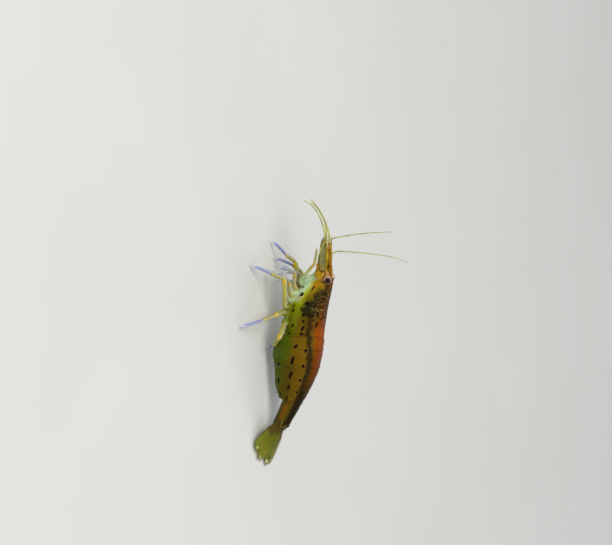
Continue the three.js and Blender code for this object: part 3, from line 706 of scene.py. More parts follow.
def pincerLeg(name, joints):  # the same with a palm, two fingers, and a brush on each
    points, shape = mirrored(joints, sideOf(name)), pincerShape
    parts = chain(points, shape["radii"])
    wrist, palm = points[-2:]
    way = unit(palm - wrist)
    apart = squareTo(way, (-1, -0.2 * sideOf(name), 0))
    spread = unit(np.cross(way, apart))
    rng = np.random.default_rng(len(name) + int(palm[0] * -10))
    roots, aims = [], []
    for hand in (-1, 1):
        root = palm - way * 0.25 + apart * 0.17 * hand
        tip = palm + way * shape["finger"] * 0.82 + apart * shape["gape"] * hand
        t = np.linspace(0, 1, 16)
        line = root + np.outer(t, tip - root) + np.outer(arch(t), apart * 0.1 * hand)
        radii = shape["fingerRadius"] * (1 - 0.55 * t)
        parts.append(tubePart(line, radii, 4 + 0.0 * t, 12, 0.8, lean=apart))
        for _ in range(shape["brushHairs"]):
            f = rng.uniform(0.55, 1.0)
            sway, tilt = rng.normal(0, 0.3, 2)
            roots.append(mix(root, tip, f))
            aims.append(way + apart * (sway + 0.12 * hand) + spread * tilt)
    return parts, roots, aims


# The soft body below the shells, melted into one skin: head, mouth, chest with its leg sockets, and tail.
fleshShape = {
    "voxel": 0.12, "smoothing": 3, "inside": 0.3, "jaws": 3, "socket": (0.7, 0.7, 0.5),
    "head": [((-10.8, 0, 11.4), (1.75, 1.5, 1.75)), ((-9.6, 0, 9.6), (1.75, 1.4, 2.2)),
             ((-11.55, 0, 12.75), (1.0, 0.75, 0.6))],  # balls, each with its centre and radii
}


def loftPart(rows, section):  # a closed loft: section(k, t) gives the point at k round and t along
    columns = 48
    points = section(np.linspace(-1, 1, columns, endpoint=False)[None, :], np.linspace(0, 1, rows)[:, None])
    return closedPart(points, [0] * rows)


def tailCore(k, t):
    s = mix(-0.35, 5.97, t)
    ridge = 0.12 * np.cos(2 * math.pi * s) * ease(0.5, 0.9, np.abs(k))
    inside = fleshShape["inside"]
    half = widthAt(s) - inside - 0.25 * ease(0.5, 0.9, np.abs(k))
    y, h = girth(k, backAt(s) - inside, fleshAt(s) + ridge, half, 0.3)
    middle, up, across, _ = spineAt(s)
    return middle + up * h[..., None] + across * y[..., None]


def chestCore(k, t):
    x = mix(-9.9, 1.2, t)
    back, low, half = (carapaceShape[key](x) for key in ("back", "low", "half"))
    ridge = 0.16 * np.cos(2 * math.pi * (x + 5.1) / 1.45) * ease(0.6, 0.95, np.abs(k))
    drop = 1.25 + 1.15 * ease(-9.2, -7.4, x) * ease(0.9, -1.2, x) + ridge
    y, h = girth(k, back - low - 1.8, drop, half * 0.8 - 0.1, 0.25)
    return np.stack([x + 0 * y, y, low + 0.9 + h], axis=-1)


def bodyFlesh():
    parts = [loftPart(120, tailCore), loftPart(60, chestCore)]
    parts += [ballPart(centre, radii) for centre, radii in fleshShape["head"]]
    hips = [joints[0] for name, joints in {**pincerLegs, **walkingLegs}.items() if name.endswith("left")]
    for side in sides.values():
        for x, y, z in hips:
            line = [(x + 0.1, y + 0.15, z), (x + 0.1, y + 0.6, z - 0.9), (x, y + 0.95, z - 1.35)]
            parts.append(tubePart(mirrored(line, side), fleshShape["socket"], count=16))
        for i in range(fleshShape["jaws"]):  # the small leaf-like jaws
            root = np.array((-9.2 - 0.55 * i, side * 0.75, 8.0 + 0.55 * i))
            tip = root + np.array((-1.2, side * 0.15, 0.5))
            line = [mix(root, tip, f) for f in np.linspace(0, 1, 9)]
            swell = 0.16 + 0.34 * np.sin(np.linspace(0.15, math.pi * 0.93, 9))
            parts.append(tubePart(line, swell, flat=0.6, lean=(0, 1, 0), count=12))
        parts.append(ballPart((-11.2, side * 1.3, 11.55), (0.85, 0.62, 0.7)))
    return melted(parts, fleshShape["voxel"], fleshShape["smoothing"])


# Feelers and the limbs of the head.
headShape = {
    "antennule": [(-12.2, 0.8, 12.3), (-14.4, 0.95, 13.2), (-16.0, 1.0, 13.2), (-17.9, 1.0, 13.0)],
    "antennuleRadii": [(0.5, 0.44, 0.06), (0.42, 0.38, 0.06), (0.37, 0.33, 0.06)],
    "spike": [(-12.4, 1.25, 12.6), (-13.2, 1.5, 12.95), (-14.2, 1.62, 13.15)],
    "spikeRadii": [0.16, 0.11, 0.02],
    "antenna": [(-10.9, 1.45, 11.5), (-12.3, 1.88, 11.82), (-13.7, 2.23, 11.96)],
    "antennaRadii": [(0.62, 0.58, 0.05), (0.46, 0.36, 0.05)],
    "maxilliped": [(-9.3, 1.0, 8.0), (-10.4, 1.9, 7.9), (-11.9, 2.31, 9.6), (-13.6, 2.25, 11.15),
                   (-16.6, 2.1, 11.6)],
    "maxillipedRadii": [(0.4, 0.38, 0.1), (0.36, 0.32, 0.1), (0.32, 0.28, 0.1), (0.27, 0.16, 0.1)],
    "mouthHairs": 110, "scaleHairs": 70, "hair": 0.6,
}
whipShape = {
    "antennules": {
        "left": [(-18.05, 13.22), (-19.7, 13.04), (-21.2, 12.75), (-22.6, 12.35), (-24.4, 11.4),
                 (-25.6, 10.15), (-26.3, 9.0)],
        "right": [(-18.05, 12.96), (-19.3, 12.9), (-20.7, 12.55), (-21.9, 12.1), (-22.9, 11.6),
                  (-24.8, 10.5), (-26.6, 9.1)],
    },
    "antennae": {
        "left": [(-13.75, -2.24, 11.97), (-15.8, -2.75, 12.45), (-17.6, -3.25, 13.6), (-18.5, -3.7, 15.6),
                 (-19.05, -4.3, 18.8), (-19.4, -5, 22.2), (-19.6, -5.8, 25.8), (-19.65, -6.8, 29.4)],
        "right": [(-13.75, 2.24, 11.97), (-15.1, 2.65, 12.35), (-16.05, 3.15, 13.5), (-16.05, 3.8, 15.8),
                  (-15.8, 4.7, 18.6), (-15.4, 6, 21.9), (-14.8, 7, 24.7), (-14, 8, 26.9)],
    },
    "antennuleRadii": (0.18, 0.07), "antennaRadii": (0.15, 0.05), "ring": 0.3,
}


def antennulePath(name, outer):
    path, apart = whipShape["antennules"][name], 1 if outer else -1
    start, reach = path[0][0], 1 if outer else 0.95
    points = []
    for i, (x, z) in enumerate(path):
        y = 1.05 + 0.02 * i + apart * (0.27 + 0.05 * i) * ease(-1, 2, i)
        points.append(np.array((start + (x - start) * reach, y * sides[name], z - 0.08 * apart * i)))
    return [points[0] + (0.25, 0, 0)] + points


def antennaPath(name):
    x, y, z = whipShape["antennae"][name][0]
    return [(x + 0.3, y - 0.05 * sides[name], z - 0.02)] + whipShape["antennae"][name]


# Thin blades: tail fan, antennal scales and swimmerets.
def bladeFrame(blade):
    root, tip = np.array(blade["root"], float), np.array(blade["tip"], float)
    across = unit(np.cross(tip - root, blade["face"]))
    return root, tip - root, across, unit(np.cross(across, tip - root))


def bladeHalf(blade, t):
    return blade["width"] / 2 * blade["outline"](t)


def bladePart(blade, rows=70, columns=44):
    root, along, across, up = bladeFrame(blade)
    t = np.linspace(0, 1, rows)[:, None]
    angle = np.linspace(0, 2 * math.pi, columns, endpoint=False)[None, :]
    c = np.cos(angle)
    half = bladeHalf(blade, t)
    line = blade.get("line", 0)
    depth = blade["depth"] / 2 * (0.35 + 0.65 * hump(c, line, 0.2) + 0.35 * hump(np.abs(c), 0.92, 0.1))
    depth = depth * (1 - 0.5 * ease(0.4, 1.0, t)) * np.abs(np.sin(angle)) ** 0.35
    if "suture" in blade:
        depth = depth * (1 - 0.45 * hump(t, blade["suture"], 0.014))
    cup = blade.get("cup", 0.1) * (0.6 - c**2) * half
    lift = cup + depth * np.sign(np.sin(angle))
    points = root + t[..., None] * along + (half * c)[..., None] * across + lift[..., None] * up
    points[..., 2] = np.maximum(points[..., 2], 0.02)
    acrossUv = [0.5 + 0.5 * math.cos(2 * math.pi * i / columns) for i in range(columns + 1)]
    uv = [[(u, v) for u in acrossUv] for v in t[:, 0]]
    return sheetPart(points, uv, wrap=True, caps=True)


def bladeFringe(blade, count, start, edges=(-1, 1), splay=0.8):  # roots and aims round the blade's free edge
    root, along, across, _ = bladeFrame(blade)
    roots, aims = [], []
    way = unit(along)
    for edge in edges:
        for t in 1 - (1 - start) * np.linspace(0, 1, count) ** 1.25:
            tipward = float(ease(0.72, 1.0, t))
            roots.append(root + along * t + across * bladeHalf(blade, t) * edge * 0.97)
            aims.append(way * (0.75 + 1.2 * tipward) + across * edge * splay * (1 - 0.6 * tipward))
    for c in np.linspace(-0.95, 0.95, count // 4):
        roots.append(root + along + across * bladeHalf(blade, 1.0) * c)
        aims.append(way + across * c * 0.25)
    return roots, aims


def leafOutline(t):
    rising = 0.5 + 0.5 * np.sin(math.pi / 2 * np.minimum(t / 0.55, 1))
    return rising * (1 - 0.25 * ease(0.75, 1, t)) * (1 - 0.7 * ease(0.9, 1.04, t))


def scaleOutline(t):
    rising = 0.36 + 0.64 * arch(np.minimum(0.12 + 0.9 * t, 1)) ** 0.6 * (1 - 0.25 * t)
    return rising * (1 - 0.3 * ease(0.93, 1.0, t))


def swimOutline(t):
    return 0.25 + 0.75 * arch(np.clip(0.08 + 0.86 * t, 0, 1))


def telsonOutline(t):
    return (1 - 0.62 * t) * (1 - 0.6 * ease(0.93, 1.03, t))


# A blade's fringe is its number of hairs on an edge, where they start and their length.
fan = {
    "root": np.array((18.3, -0.95, 3.75)), "turn": -16,
    "lean": {"left": -0.5, "middle": -0.25, "right": 0},
    "telson": {"root": (0.2, 0, -0.2), "tips": {"middle": (6.6, 0, 2.95)}, "width": 2.3, "depth": 0.5,
               "cup": 0.4, "outline": telsonOutline, "fringe": (12, 0.86, 0.5)},
    "inner": {"root": (0.2, 0.6, 0.15), "tips": {"left": (7.6, 2.3, 3.2), "right": (8.0, 1.5, 3.5)},
              "width": 2.8, "depth": 0.22, "cup": 0.12, "outline": leafOutline, "fringe": (90, 0.34, 0.75)},
    "outer": {"root": (0.2, 0.9, 0.3), "tips": {"left": (6.1, 4.4, 3.2), "right": (7.4, 3.1, 3.62)},
              "width": 3.3, "depth": 0.22, "cup": 0.12, "suture": 0.7, "outline": leafOutline,
              "fringe": (90, 0.34, 0.75)},
    "stub": [(-0.9, 0.55, 0.1), (0.0, 0.75, 0.2), (0.75, 0.95, 0.42), (1.1, 1.05, 0.55)],
    "keel": [(-0.8, 0, -0.35), (0.3, 0, -0.25), (1.2, 0, 0.12)],
    "spinules": 5, "spinule": 0.26,
}


def fanPlace(point, side=1):
    x, y, z = point
    turn = Matrix.Rotation(math.radians(fan["turn"]), 3, "Z")
    return np.array(turn @ Vector((x, y * side, -z))) + fan["root"]


def fanBlade(kind, name):
    blade, side = dict(fan[kind]), sides.get(name, 1)
    blade["root"], blade["tip"] = fanPlace(blade["root"], side), fanPlace(blade["tips"][name], side)
    blade["face"] = (0.4, fan["lean"][name], 1)
    return blade


def fanRoot():  # the stubs that the side blades sit on, and the keel between them
    parts = []
    for side in sides.values():
        line = [fanPlace(point, side) for point in fan["stub"]]
        parts.append(tubePart(curveOf(line, 14), 0.82 - 0.3 * np.linspace(0, 1, 14) ** 2, count=18))
    line = curveOf([fanPlace(point) for point in fan["keel"]], 12)
    return parts + [tubePart(line, np.linspace(0.85, 0.6, 12), count=18, flat=0.62)]


scaleBlade = {"root": (-12.3, 2.0, 12.75), "tip": (-18.6, 2.1, 13.0), "width": 1.9, "depth": 0.26,
              "line": 0.55, "outline": scaleOutline}


def scaleOf(side):
    root, tip = mirrored((scaleBlade["root"], scaleBlade["tip"]), side)
    return {**scaleBlade, "root": root, "tip": tip, "face": (0, 0.55 * side, 1)}


swimShape = {"pairs": 5, "behind": 0.45, "hairs": 26, "hair": 0.45, "widest": 1.1, "depth": 0.2}


def swimmeret(i, side):  # a stem with an outer and an inner leaf
    middle, up, across, along = spineAt(i + swimShape["behind"])
    flesh = float(fleshAt(i + swimShape["behind"]))
    space = trunk["flap"][i] - flesh
    out = side * (float(widthAt(i + 0.5)) - 0.6) * 0.46

    def place(down, behind):
        return middle - up * down + along * behind + across * out

    root, knee = place(flesh - 0.4, 0), place(flesh + 0.34 * space, 0.1)
    tip = place(flesh + 0.9 * space, 1.35)
    t = np.linspace(0, 1, 14)
    parts = [tubePart(root + np.outer(t, knee - root), 0.4 - 0.08 * t + 0.05 * arch(t))]
    roots, aims = [], []
    for aside in (-0.22, 0.24):
        blade = {"root": mix(knee, tip, -0.06) + across * aside * 0.5, "tip": tip + across * aside,
                 "face": (0.9, 0, 0.5), "width": min(swimShape["widest"], abs(out) * 0.95),
                 "depth": swimShape["depth"], "outline": swimOutline}
        parts.append(bladePart(blade, 26, 24))
        leafRoots, leafAims = bladeFringe(blade, swimShape["hairs"], 0.25, splay=0.9)
        roots += leafRoots
        aims += leafAims
    return parts, roots, aims


print("shapes ready")

# Paints. Along a ring plate, s counts the rings from the carapace; along the carapace, v is the distance
# from its front. k runs from the back (0) to a shell's free edge (1).
gutBlack, spotBlack, bark = (32, 21, 3), (13, 7, 4), (42, 24, 5)
shellFinish = {"Subsurface_Weight": 0.04, "Subsurface_Scale": 0.0005, "Specular_IOR_Level": 0.07}
hornFinish = {"Specular_IOR_Level": 0.12, "Coat_Weight": 0.02, "Coat_Roughness": 0.25}
shellRound = {"upper": 8.5, "lower": 11.0}  # millimetres from k = 0 to 1, for dots above and below k = 0.6
ringLength, bladeLength = 2.6, 6.5  # millimetres of a ring plate, and of a fan blade, for its dots
carapaceLength, jointCount = 12, 5
ringDots = {  # k, s, half width, half length, slant
    "upper": [(0.469, 1.08, 0.32, 0.34, 0.2), (0.483, 1.98, 0.31, 0.34, 0), (0.472, 3.06, 0.31, 0.34, 0),
              (0.433, 4.1, 0.32, 0.34, 0)],
    "middle": [(0.655, 0.85, 0.31, 0.48, 0.2), (0.68, 1.76, 0.27, 0.76, 0.6), (0.69, 2.95, 0.29, 0.85, 0.5),
               (0.68, 4.03, 0.28, 0.7, 0.4), (0.67, 4.98, 0.3, 0.45, 0.3)],
    "edge": [(0.915, 2.42, 0.27, 0.44, 0), (0.915, 3.83, 0.29, 0.46, 0), (0.905, 4.93, 0.3, 0.46, 0)],
    "last": [(0.40, 5.9, 0.3, 0.36, 0), (0.86, 5.4, 0.14, 0.9, 0.5), (0.9, 5.9, 0.22, 0.5, 0.2)],
}
carapaceDots = [  # k, v, half width, half length, slant
    (0.575, 2.1, 0.24, 0.5, 0.2), (0.84, 3.36, 0.7, 0.42, 0), (0.553, 5.14, 0.38, 0.42, -0.4),
    (0.93, 5.7, 0.36, 0.26, 0), (0.9, 6.55, 0.42, 0.34, 0), (0.575, 7.47, 0.3, 0.28, 0.3),
    (0.539, 8.72, 0.24, 0.3, 0), (0.535, 10.1, 0.24, 0.56, 0.5), (0.547, 11.2, 0.36, 0.28, 0),
    (0.817, 9.55, 0.38, 0.32, 0), (0.9, 11.25, 0.46, 0.3, 0), (0.95, 1.9, 0.3, 0.26, 0),
    (0.244, 9.3, 0.22, 0.6, 0.5), (0.256, 7.3, 0.2, 0.5, 0),
]


def ringPaint():
    paint = Paint("ringShell", **shellFinish)
    u, s = paint.wrap()
    k = abs(u * 2 - 1)
    blotch, grain = paint.noise(1.5, 4.0), paint.noise(0.3, 3.0)
    soft = k + blotch * 0.14 + grain * 0.08
    part = s / ringCount
    flank = paint.ramp(part, (0.0, 112, 84, 5), (0.4, 102, 76, 3), (0.7, 98, 74, 4), (0.86, 92, 68, 5),
                       (1.0, 78, 76, 8))
    flap = paint.ramp(part, (0.0, 78, 92, 6), (0.3, 70, 88, 6), (0.6, 76, 84, 4), (0.85, 84, 80, 5),
                      (1.0, 80, 84, 10))
    paint.colour = paint.ramp(part, (0.0, 128, 60, 1), (0.3, 114, 54, 1), (0.48, 92, 50, 2),
                              (0.6, 64, 46, 4), (0.75, 42, 36, 4), (1.0, 36, 32, 4))
    paint.lay(paint.step(soft, 0.2, 0.3), flank)
    paint.lay(paint.step(soft, 0.58, 0.7) * paint.step(s, 1.2, 2.4) * 0.7, (72, 62, 3))
    paint.lay(paint.step(soft - paint.step(s, 1.2, 2.4) * 0.12, 0.64, 0.8), flap)
    # Muscle shows through as faint slanting bands, and pigment grains as a fine mottling.
    muscle = paint.waves((s * 3 + k * 2.4 + blotch * 5) * 6.28, 0.3, 1.0)
    muscle = muscle * paint.step(soft, 0.36, 0.46) * paint.fade(soft, 0.6, 0.72)
    paint.lay(muscle * 0.14, (170, 124, 30))
    paint.lay(paint.step(grain, 0.0, 0.16) * 0.28, bark)
    paint.lay(paint.freckles(0.7, 0.5) * paint.step(soft, 0.62, 0.76) * 0.3, (40, 60, 6))
    folds = paint.waves((s + grain * 0.12) * 34, 0.1, 0.9) * paint.fade(s, 0.5, 1.6)
    paint.lay(folds * paint.fade(k, 0.2, 0.3) * 0.5, (190, 92, 12))
    # The dark gut lies beside the back, widens and blackens towards the tail.
    tail, aside = paint.step(s, 3.0, 5.0), paint.step(s, 0.3, 2.2)
    ragged = k + blotch * 0.14 + grain * 0.22
    middle = 0.4 - aside * 0.072 - 0.083 * tail
    gut = paint.band(ragged, middle, 0.066 + 0.016 * aside + 0.062 * tail, 0.7) * (0.9 + 0.08 * tail)
    paint.lay(gut * paint.fade(s, 5.9, 6.05), gutBlack)
    paint.lay(paint.band(ragged, 0.68, 0.1, 0.7) * paint.band(s, 5.6, 0.34, 0.6) * 0.45, (150, 78, 10))
    paint.lay(paint.freckles(0.45, 0.6) * paint.fade(k, 0.3, 0.42) * (0.3 + 0.5 * tail), bark)
    halos = [(k0, s0, wide * 1.9, long * 1.8, lean) for k0, s0, wide, long, lean in ringDots["upper"]]
    paint.lay(paint.dots(k, s, halos, ringLength) * 0.22, (134, 92, 22))
    dark = paint.dots(k, s, [dot for row in ringDots.values() for dot in row], ringLength)
    paint.lay(dark * 0.97, spotBlack)
    # Each plate's rear edge is a thin rim, dark with painted shade but for the last one, which has a pale
    # painted highlight.
    turn = (s + 0.001).math("FRACT")
    rim = paint.step(turn, 0.94, 0.99) + paint.fade(turn, 0.02, 0.05)
    last = paint.step(s, 5.8, 6.0)
    # painted shade on the rear lips of the first five plates
    paint.lay(rim * (1 - last) * 0.2, bark)
    # a painted highlight along the last plate's rear edge
    paint.lay(rim * 0.4 * last * (1 - dark), (190, 176, 70))
    return paint.finish(paint.noise(0.1, 2.0) + blotch * 0.6, 0.05, Roughness=0.4 + grain * 0.3,
                        Alpha=1 - paint.step(soft, 0.78, 0.98) * (1 - dark) * 0.26)


def carapacePaint():
    paint = Paint("carapaceShell", **shellFinish)
    u, v = paint.wrap()
    k = abs(u * 2 - 1)
    blotch, grain = paint.noise(1.7, 4.0), paint.noise(0.3, 3.0)
    soft = k + blotch * 0.2 + grain * 0.12
    part = v / carapaceLength
    flank = paint.ramp(part, (0.0, 160, 120, 16), (0.24, 136, 112, 12), (0.42, 70, 64, 8), (0.6, 88, 74, 6),
                       (1.0, 110, 80, 6))
    low = paint.ramp(part, (0.0, 176, 130, 24), (0.08, 180, 168, 60), (0.16, 184, 200, 90),
                     (0.3, 170, 178, 8), (0.5, 128, 132, 8), (0.8, 98, 100, 6), (1.0, 84, 88, 5))
    paint.colour = paint.ramp(part, (0.0, 120, 78, 14), (0.14, 84, 56, 10), (0.5, 74, 44, 6),
                              (0.66, 88, 46, 3), (0.8, 122, 56, 2), (1.0, 132, 60, 1))
    paint.lay(paint.step(soft, 0.2, 0.34), flank)
    paint.lay(paint.step(soft, 0.56, 0.78), low)
    mint = paint.step(soft, 0.72, 0.86) * paint.band(v, 2.6, 1.9, 0.4)
    paint.lay(mint * 0.9, (196, 224, 184))
    # The dark liver and gut show through the middle of the shell.
    for kMass, vMass, wide, long in ((0.45, 6.2, 0.22, 2.1), (0.3, 3.6, 0.19, 2.2)):
        around, along = (soft - kMass) / wide, (v - vMass) / long
        mass = paint.fade(around * around + along * along + blotch * 1.8, 0.2, 1.3)
        paint.lay(mass * 0.9, (26, 28, 7))
    gut = paint.band(soft + grain * 0.1, 0.41, 0.066, 0.7) * paint.step(v, 6.2, 7.6)
    paint.lay(gut * 0.9, gutBlack)
    # Dark, orange and cream grains net over the front of the back.
    fore = paint.fade(v, 8.4, 11.0) * paint.fade(soft, 0.32, 0.5)
    paint.lay(paint.freckles(0.75, 0.5) * fore * 0.6, (140, 74, 12))
    paint.lay(paint.freckles(0.42, 0.9) * fore * 0.85, (20, 12, 4))
    paint.lay(paint.freckles(0.3, 0.55) * fore * 0.85, (190, 122, 30))
    paint.lay(paint.freckles(0.55, 0.42) * (1 - fore) * 0.45, bark)
    lines = paint.band(v + k * 1.1 + grain * 0.2, 6.66, 0.07, 0.8)
    lines = lines + paint.band(v + k * 1.1 + grain * 0.3, 7.05, 0.05, 0.8) * 0.6
    lines = lines * paint.band(k, 0.26, 0.17, 0.4) * paint.step(grain, -0.1, 0.1)
    paint.lay(lines * 0.6, (176, 160, 100))
    folds = paint.waves((v + grain * 0.6) * 15, 0.1, 0.9) * paint.step(v, 9.6, 11.4)
    paint.lay(folds * paint.fade(k, 0.2, 0.3) * 0.6, (196, 96, 14))
    paint.lay(paint.freckles(0.6, 0.5) * paint.step(soft, 0.5, 0.7) * 0.4, (150, 156, 30))
    glow = paint.dots(k, v, [(0.88, 3.9, 0.55, 0.5, 0), (0.55, 1.7, 0.5, 0.5, 0)], 1.0)
    paint.lay(glow * 0.5, (196, 110, 14))
    dark = paint.dots(k, v, carapaceDots, 1.0)
    paint.lay(dark * 0.97, spotBlack)
    return paint.finish(paint.noise(0.1, 2.0) + blotch * 0.6, 0.05, Roughness=0.4 + grain * 0.3,
                        Alpha=1 - paint.step(soft, 0.82, 0.98) * (1 - dark) * 0.3)


def speckledPaint(name, ground, other, grains, size=0.45, share=0.4):
    paint = Paint(name, **hornFinish)
    paint.colour = paint.blend(paint.step(paint.noise(size, 4.0), -0.12, 0.14), ground, other)
    paint.lay(paint.freckles(size * 0.8, share) * 0.8, grains)
    return paint.finish(paint.noise(size * 0.25, 2.0), 0.03, Roughness=0.42 + paint.noise(size * 0.5) * 0.3)


def fleshPaint():  # mint at the mouth, orange below the eyes, olive over the hips and brown in the tail
    paint = Paint("paleFlesh", Subsurface_Weight=0.12, Subsurface_Scale=0.001, Specular_IOR_Level=0.2)
    x, z = paint.place(0), paint.place(2)
    blotch, grain = paint.noise(1.1, 4.0), paint.noise(0.4)
    part = (x + 12) / 24 + blotch * 0.06  # from the mouth (0) to the middle of the tail (1)
    paint.colour = paint.ramp(part, (0.0, 188, 216, 170), (0.12, 176, 200, 160), (0.22, 158, 178, 130),
                              (0.3, 128, 138, 50), (0.45, 108, 122, 30), (0.6, 120, 96, 30),
                              (1.0, 90, 62, 14))
    paint.lay(paint.step(z + blotch * 2, 10.9, 11.6), (184, 134, 36))
    paint.lay(paint.step(grain, 0.04, 0.16) * 0.5, (206, 206, 130))
    paint.lay(paint.freckles(0.5, 0.4) * 0.5, (120, 70, 14))
    return paint.finish(paint.noise(0.2, 2.0), 0.04, Roughness=0.4 + grain * 0.3)


def finPaint(name, bare, spots, caps, embers):
    # v runs from the root, brown up to bare, to the tip, and u across; the marks are (u, v, width, length).
    paint = Paint(name, **hornFinish)
    u, v = paint.wrap()
    blotch = paint.noise(0.9, 4.0)
    ribs = u * (1.3 - v * 0.3) * 80
    paint.colour = paint.ramp(v + blotch * 0.3, (0.3, 96, 96, 10), (0.6, 106, 114, 12), (1.0, 130, 136, 40))
    brown = paint.fade(v + blotch * 0.2, bare - 0.06, bare + 0.08)
    paint.lay(brown, (66, 50, 5))
    side = paint.step(abs(u * 2 - 1), 0.86, 0.96) * paint.fade(v, bare + 0.2, bare + 0.4)
    paint.lay(side * 0.8, (60, 36, 6))
    rib = paint.band(u, 0.5, 0.035, 0.7)
    paint.lay(rib * 0.5, (96, 70, 16))
    paint.lay(paint.waves(ribs, 0.2, 1.0) * 0.2, (150, 154, 60))
    grains = paint.freckles(0.4, 0.55)
    paint.lay(grains * 0.5, (60, 42, 8))
    cover = 0.74 + 0.16 * grains + 0.2 * rib + 0.3 * brown + 0.2 * side
    for places, shade, strength in ((caps, (226, 220, 160), 0.75), (embers, (196, 96, 14), 0.7),
                                    (spots, (34, 20, 6), 0.85)):
        if places:
            mark = paint.dots(u, v, [(*place, 0) for place in places], bladeLength)
            paint.lay(mark * strength, shade)
            cover = cover + 0.2 * mark
    return paint.finish(ribs.math("SINE"), 0.02, Roughness=0.4 + blotch * 0.2, Alpha=cover)


def glassPaint(name, ground, edge, alpha):  # clear plates: antennal scale and swimmerets
    paint = Paint(name, **hornFinish)
    u, v = paint.wrap()
    rim = paint.step(abs(u * 2 - 1), 0.7, 0.95)
    paint.colour = paint.blend(paint.step(paint.noise(0.8), -0.1, 0.15), ground, edge)
    paint.lay(rim * 0.7, (78, 70, 14))
    paint.lay(paint.freckles(0.4, 0.5) * 0.5, bark)
    return paint.finish((u * 70).math("SINE"), 0.015, Roughness=0.4 + paint.noise(0.3) * 0.2,
                        Alpha=alpha + 0.3 * rim + 0.3 * paint.fade(v, 0, 0.2))


def legPaint(name, *stops):  # v counts the joints out from the body; stops are a joint and its colour
    paint = Paint(name, Subsurface_Weight=0.12, Subsurface_Scale=0.0004, **hornFinish)
    u, v = paint.wrap()
    blotch = paint.noise(0.6, 3.0)
    stops = [(joint / jointCount, *shade) for joint, *shade in stops]
    paint.colour = paint.ramp(v / jointCount + blotch * 0.01, *stops)
    near, hip = paint.fade(v, 2.9, 3.1), paint.fade(v, 0.5, 1.2)
    paint.lay(paint.freckles(0.35, 0.5) * near * 0.3, (144, 96, 12))
    core = paint.band(u, 0.25, 0.1, 0.8) + paint.band(u, 0.75, 0.1, 0.8)
    paint.lay(core * (1 - hip) * 0.3, (224, 226, 214))
    joint = abs((v + 0.5).math("FRACT") - 0.5)
    return paint.finish(paint.noise(0.12, 2.0), 0.03, Roughness=0.42 + blotch * 0.2,
                        Alpha=0.8 + 0.2 * hip + 0.2 * paint.fade(joint, 0.08, 0.2) + blotch * 0.2)


def whipPaint():  # v counts millimetres along the whip
    paint = Paint("feelerHorn", **hornFinish)
    v = paint.wrap()[1]
    band = paint.step((v * 1.9).math("SINE") * 0.4 + paint.noise(2.0) * 2.0, -0.3, 0.5)
    paint.colour = paint.blend(band, (180, 182, 96), (150, 152, 60))
    paint.lay(paint.step(v, 16, 26) * 0.4, (190, 188, 120))
    return paint.finish((v * 42).math("SINE"), 0.012, Roughness=0.45 + paint.noise(0.4) * 0.2)


def eyePaint():  # v runs from the stalk (0) to the pole (1)
    paint = Paint("eyeCore", Specular_IOR_Level=0.1)
    v = paint.wrap()[1]
    paint.colour = paint.ramp(v + paint.noise(0.25) * 0.12, (0.0, 120, 70, 60), (0.3, 70, 22, 30),
                              (0.6, 38, 8, 18), (1.0, 26, 6, 14))
    return paint.finish(paint.facets(0.05), 0.012, Roughness=0.5 + paint.noise(0.3) * 0.2)


def corneaPaint():  # browner to the rear, and clear round the pole
    paint = Paint("eyeCornea", Coat_Weight=0.25, Coat_Roughness=0.08, Specular_IOR_Level=0.3)
    v = paint.wrap()[1]
    paint.colour = paint.ramp(v + paint.noise(0.3) * 0.08, (0.0, 206, 160, 110), (0.4, 214, 188, 168),
                              (0.7, 208, 176, 168), (1.0, 120, 60, 80))
    paint.lay(paint.step(paint.place(0), -10.8, -9.9) * 0.8, (116, 78, 40))
    return paint.finish(paint.facets(0.05), 0.006, 0.3, Roughness=0.2 + paint.noise(0.3) * 0.05,
                        Alpha=0.06 + 0.86 * paint.fade(v, 0.66, 0.78))


ringShell, carapaceShell = ringPaint(), carapacePaint()
feelerHorn, eyeCore, eyeCornea = whipPaint(), eyePaint(), corneaPaint()
legShell = legPaint("legShell", (0.0, 92, 106, 20), (0.8, 116, 122, 26), (1.15, 166, 162, 66),
                    (1.75, 180, 172, 66), (1.95, 198, 168, 14), (2.15, 160, 150, 70), (2.75, 160, 156, 86),
                    (2.95, 190, 164, 20), (3.12, 124, 132, 186), (3.85, 132, 142, 202), (4.0, 196, 200, 224),
                    (4.3, 222, 224, 228), (5.0, 230, 228, 220))
pincerShell = legPaint("pincerShell", (0.0, 150, 160, 100), (1.0, 164, 150, 70), (1.4, 156, 156, 110),
                       (1.95, 176, 150, 50), (2.2, 146, 150, 130), (2.95, 166, 172, 176),
                       (3.3, 160, 170, 190), (4.0, 196, 204, 214), (5.0, 214, 220, 224))
mouthShell = legPaint("mouthShell", (0.0, 160, 180, 130), (1.4, 164, 184, 128), (2.1, 170, 172, 92),
                      (2.8, 180, 146, 44), (3.3, 170, 156, 56), (5.0, 170, 174, 84))
telsonBlade = finPaint("telsonBlade", 0.3, [(0.5, 0.12, 1.2, 0.5)], [], [(0.3, 0.9, 0.5, 0.3)])
innerBlade = finPaint("innerBlade", 0.26, [(0.4, 0.87, 2.1, 0.38)], [(0.58, 0.975, 3.2, 0.5)],
                      [(0.4, 0.66, 0.6, 0.3)])
leftBlade = finPaint("leftBlade", 0.3, [], [(0.6, 0.98, 0.9, 0.2)], [(0.4, 0.8, 0.5, 0.25)])
outerBlade = finPaint("outerBlade", 0.42, [], [(0.5, 0.97, 1.0, 0.3)], [(0.35, 0.8, 0.5, 0.25)])
scaleGlass = glassPaint("scaleGlass", (134, 116, 52), (112, 118, 70), 0.78)
swimGlass = glassPaint("swimGlass", (120, 130, 40), (96, 104, 26), 0.75)
rostrumHorn = speckledPaint("rostrumHorn", (158, 112, 16), (138, 92, 12), (52, 26, 6), 0.5, 0.75)
peduncleShell = speckledPaint("peduncleShell", (172, 146, 22), (156, 108, 14), (74, 38, 6), 0.45, 0.75)
stalkSkin = speckledPaint("stalkSkin", (186, 150, 96), (176, 120, 50), (110, 50, 20), 0.4, 0.5)
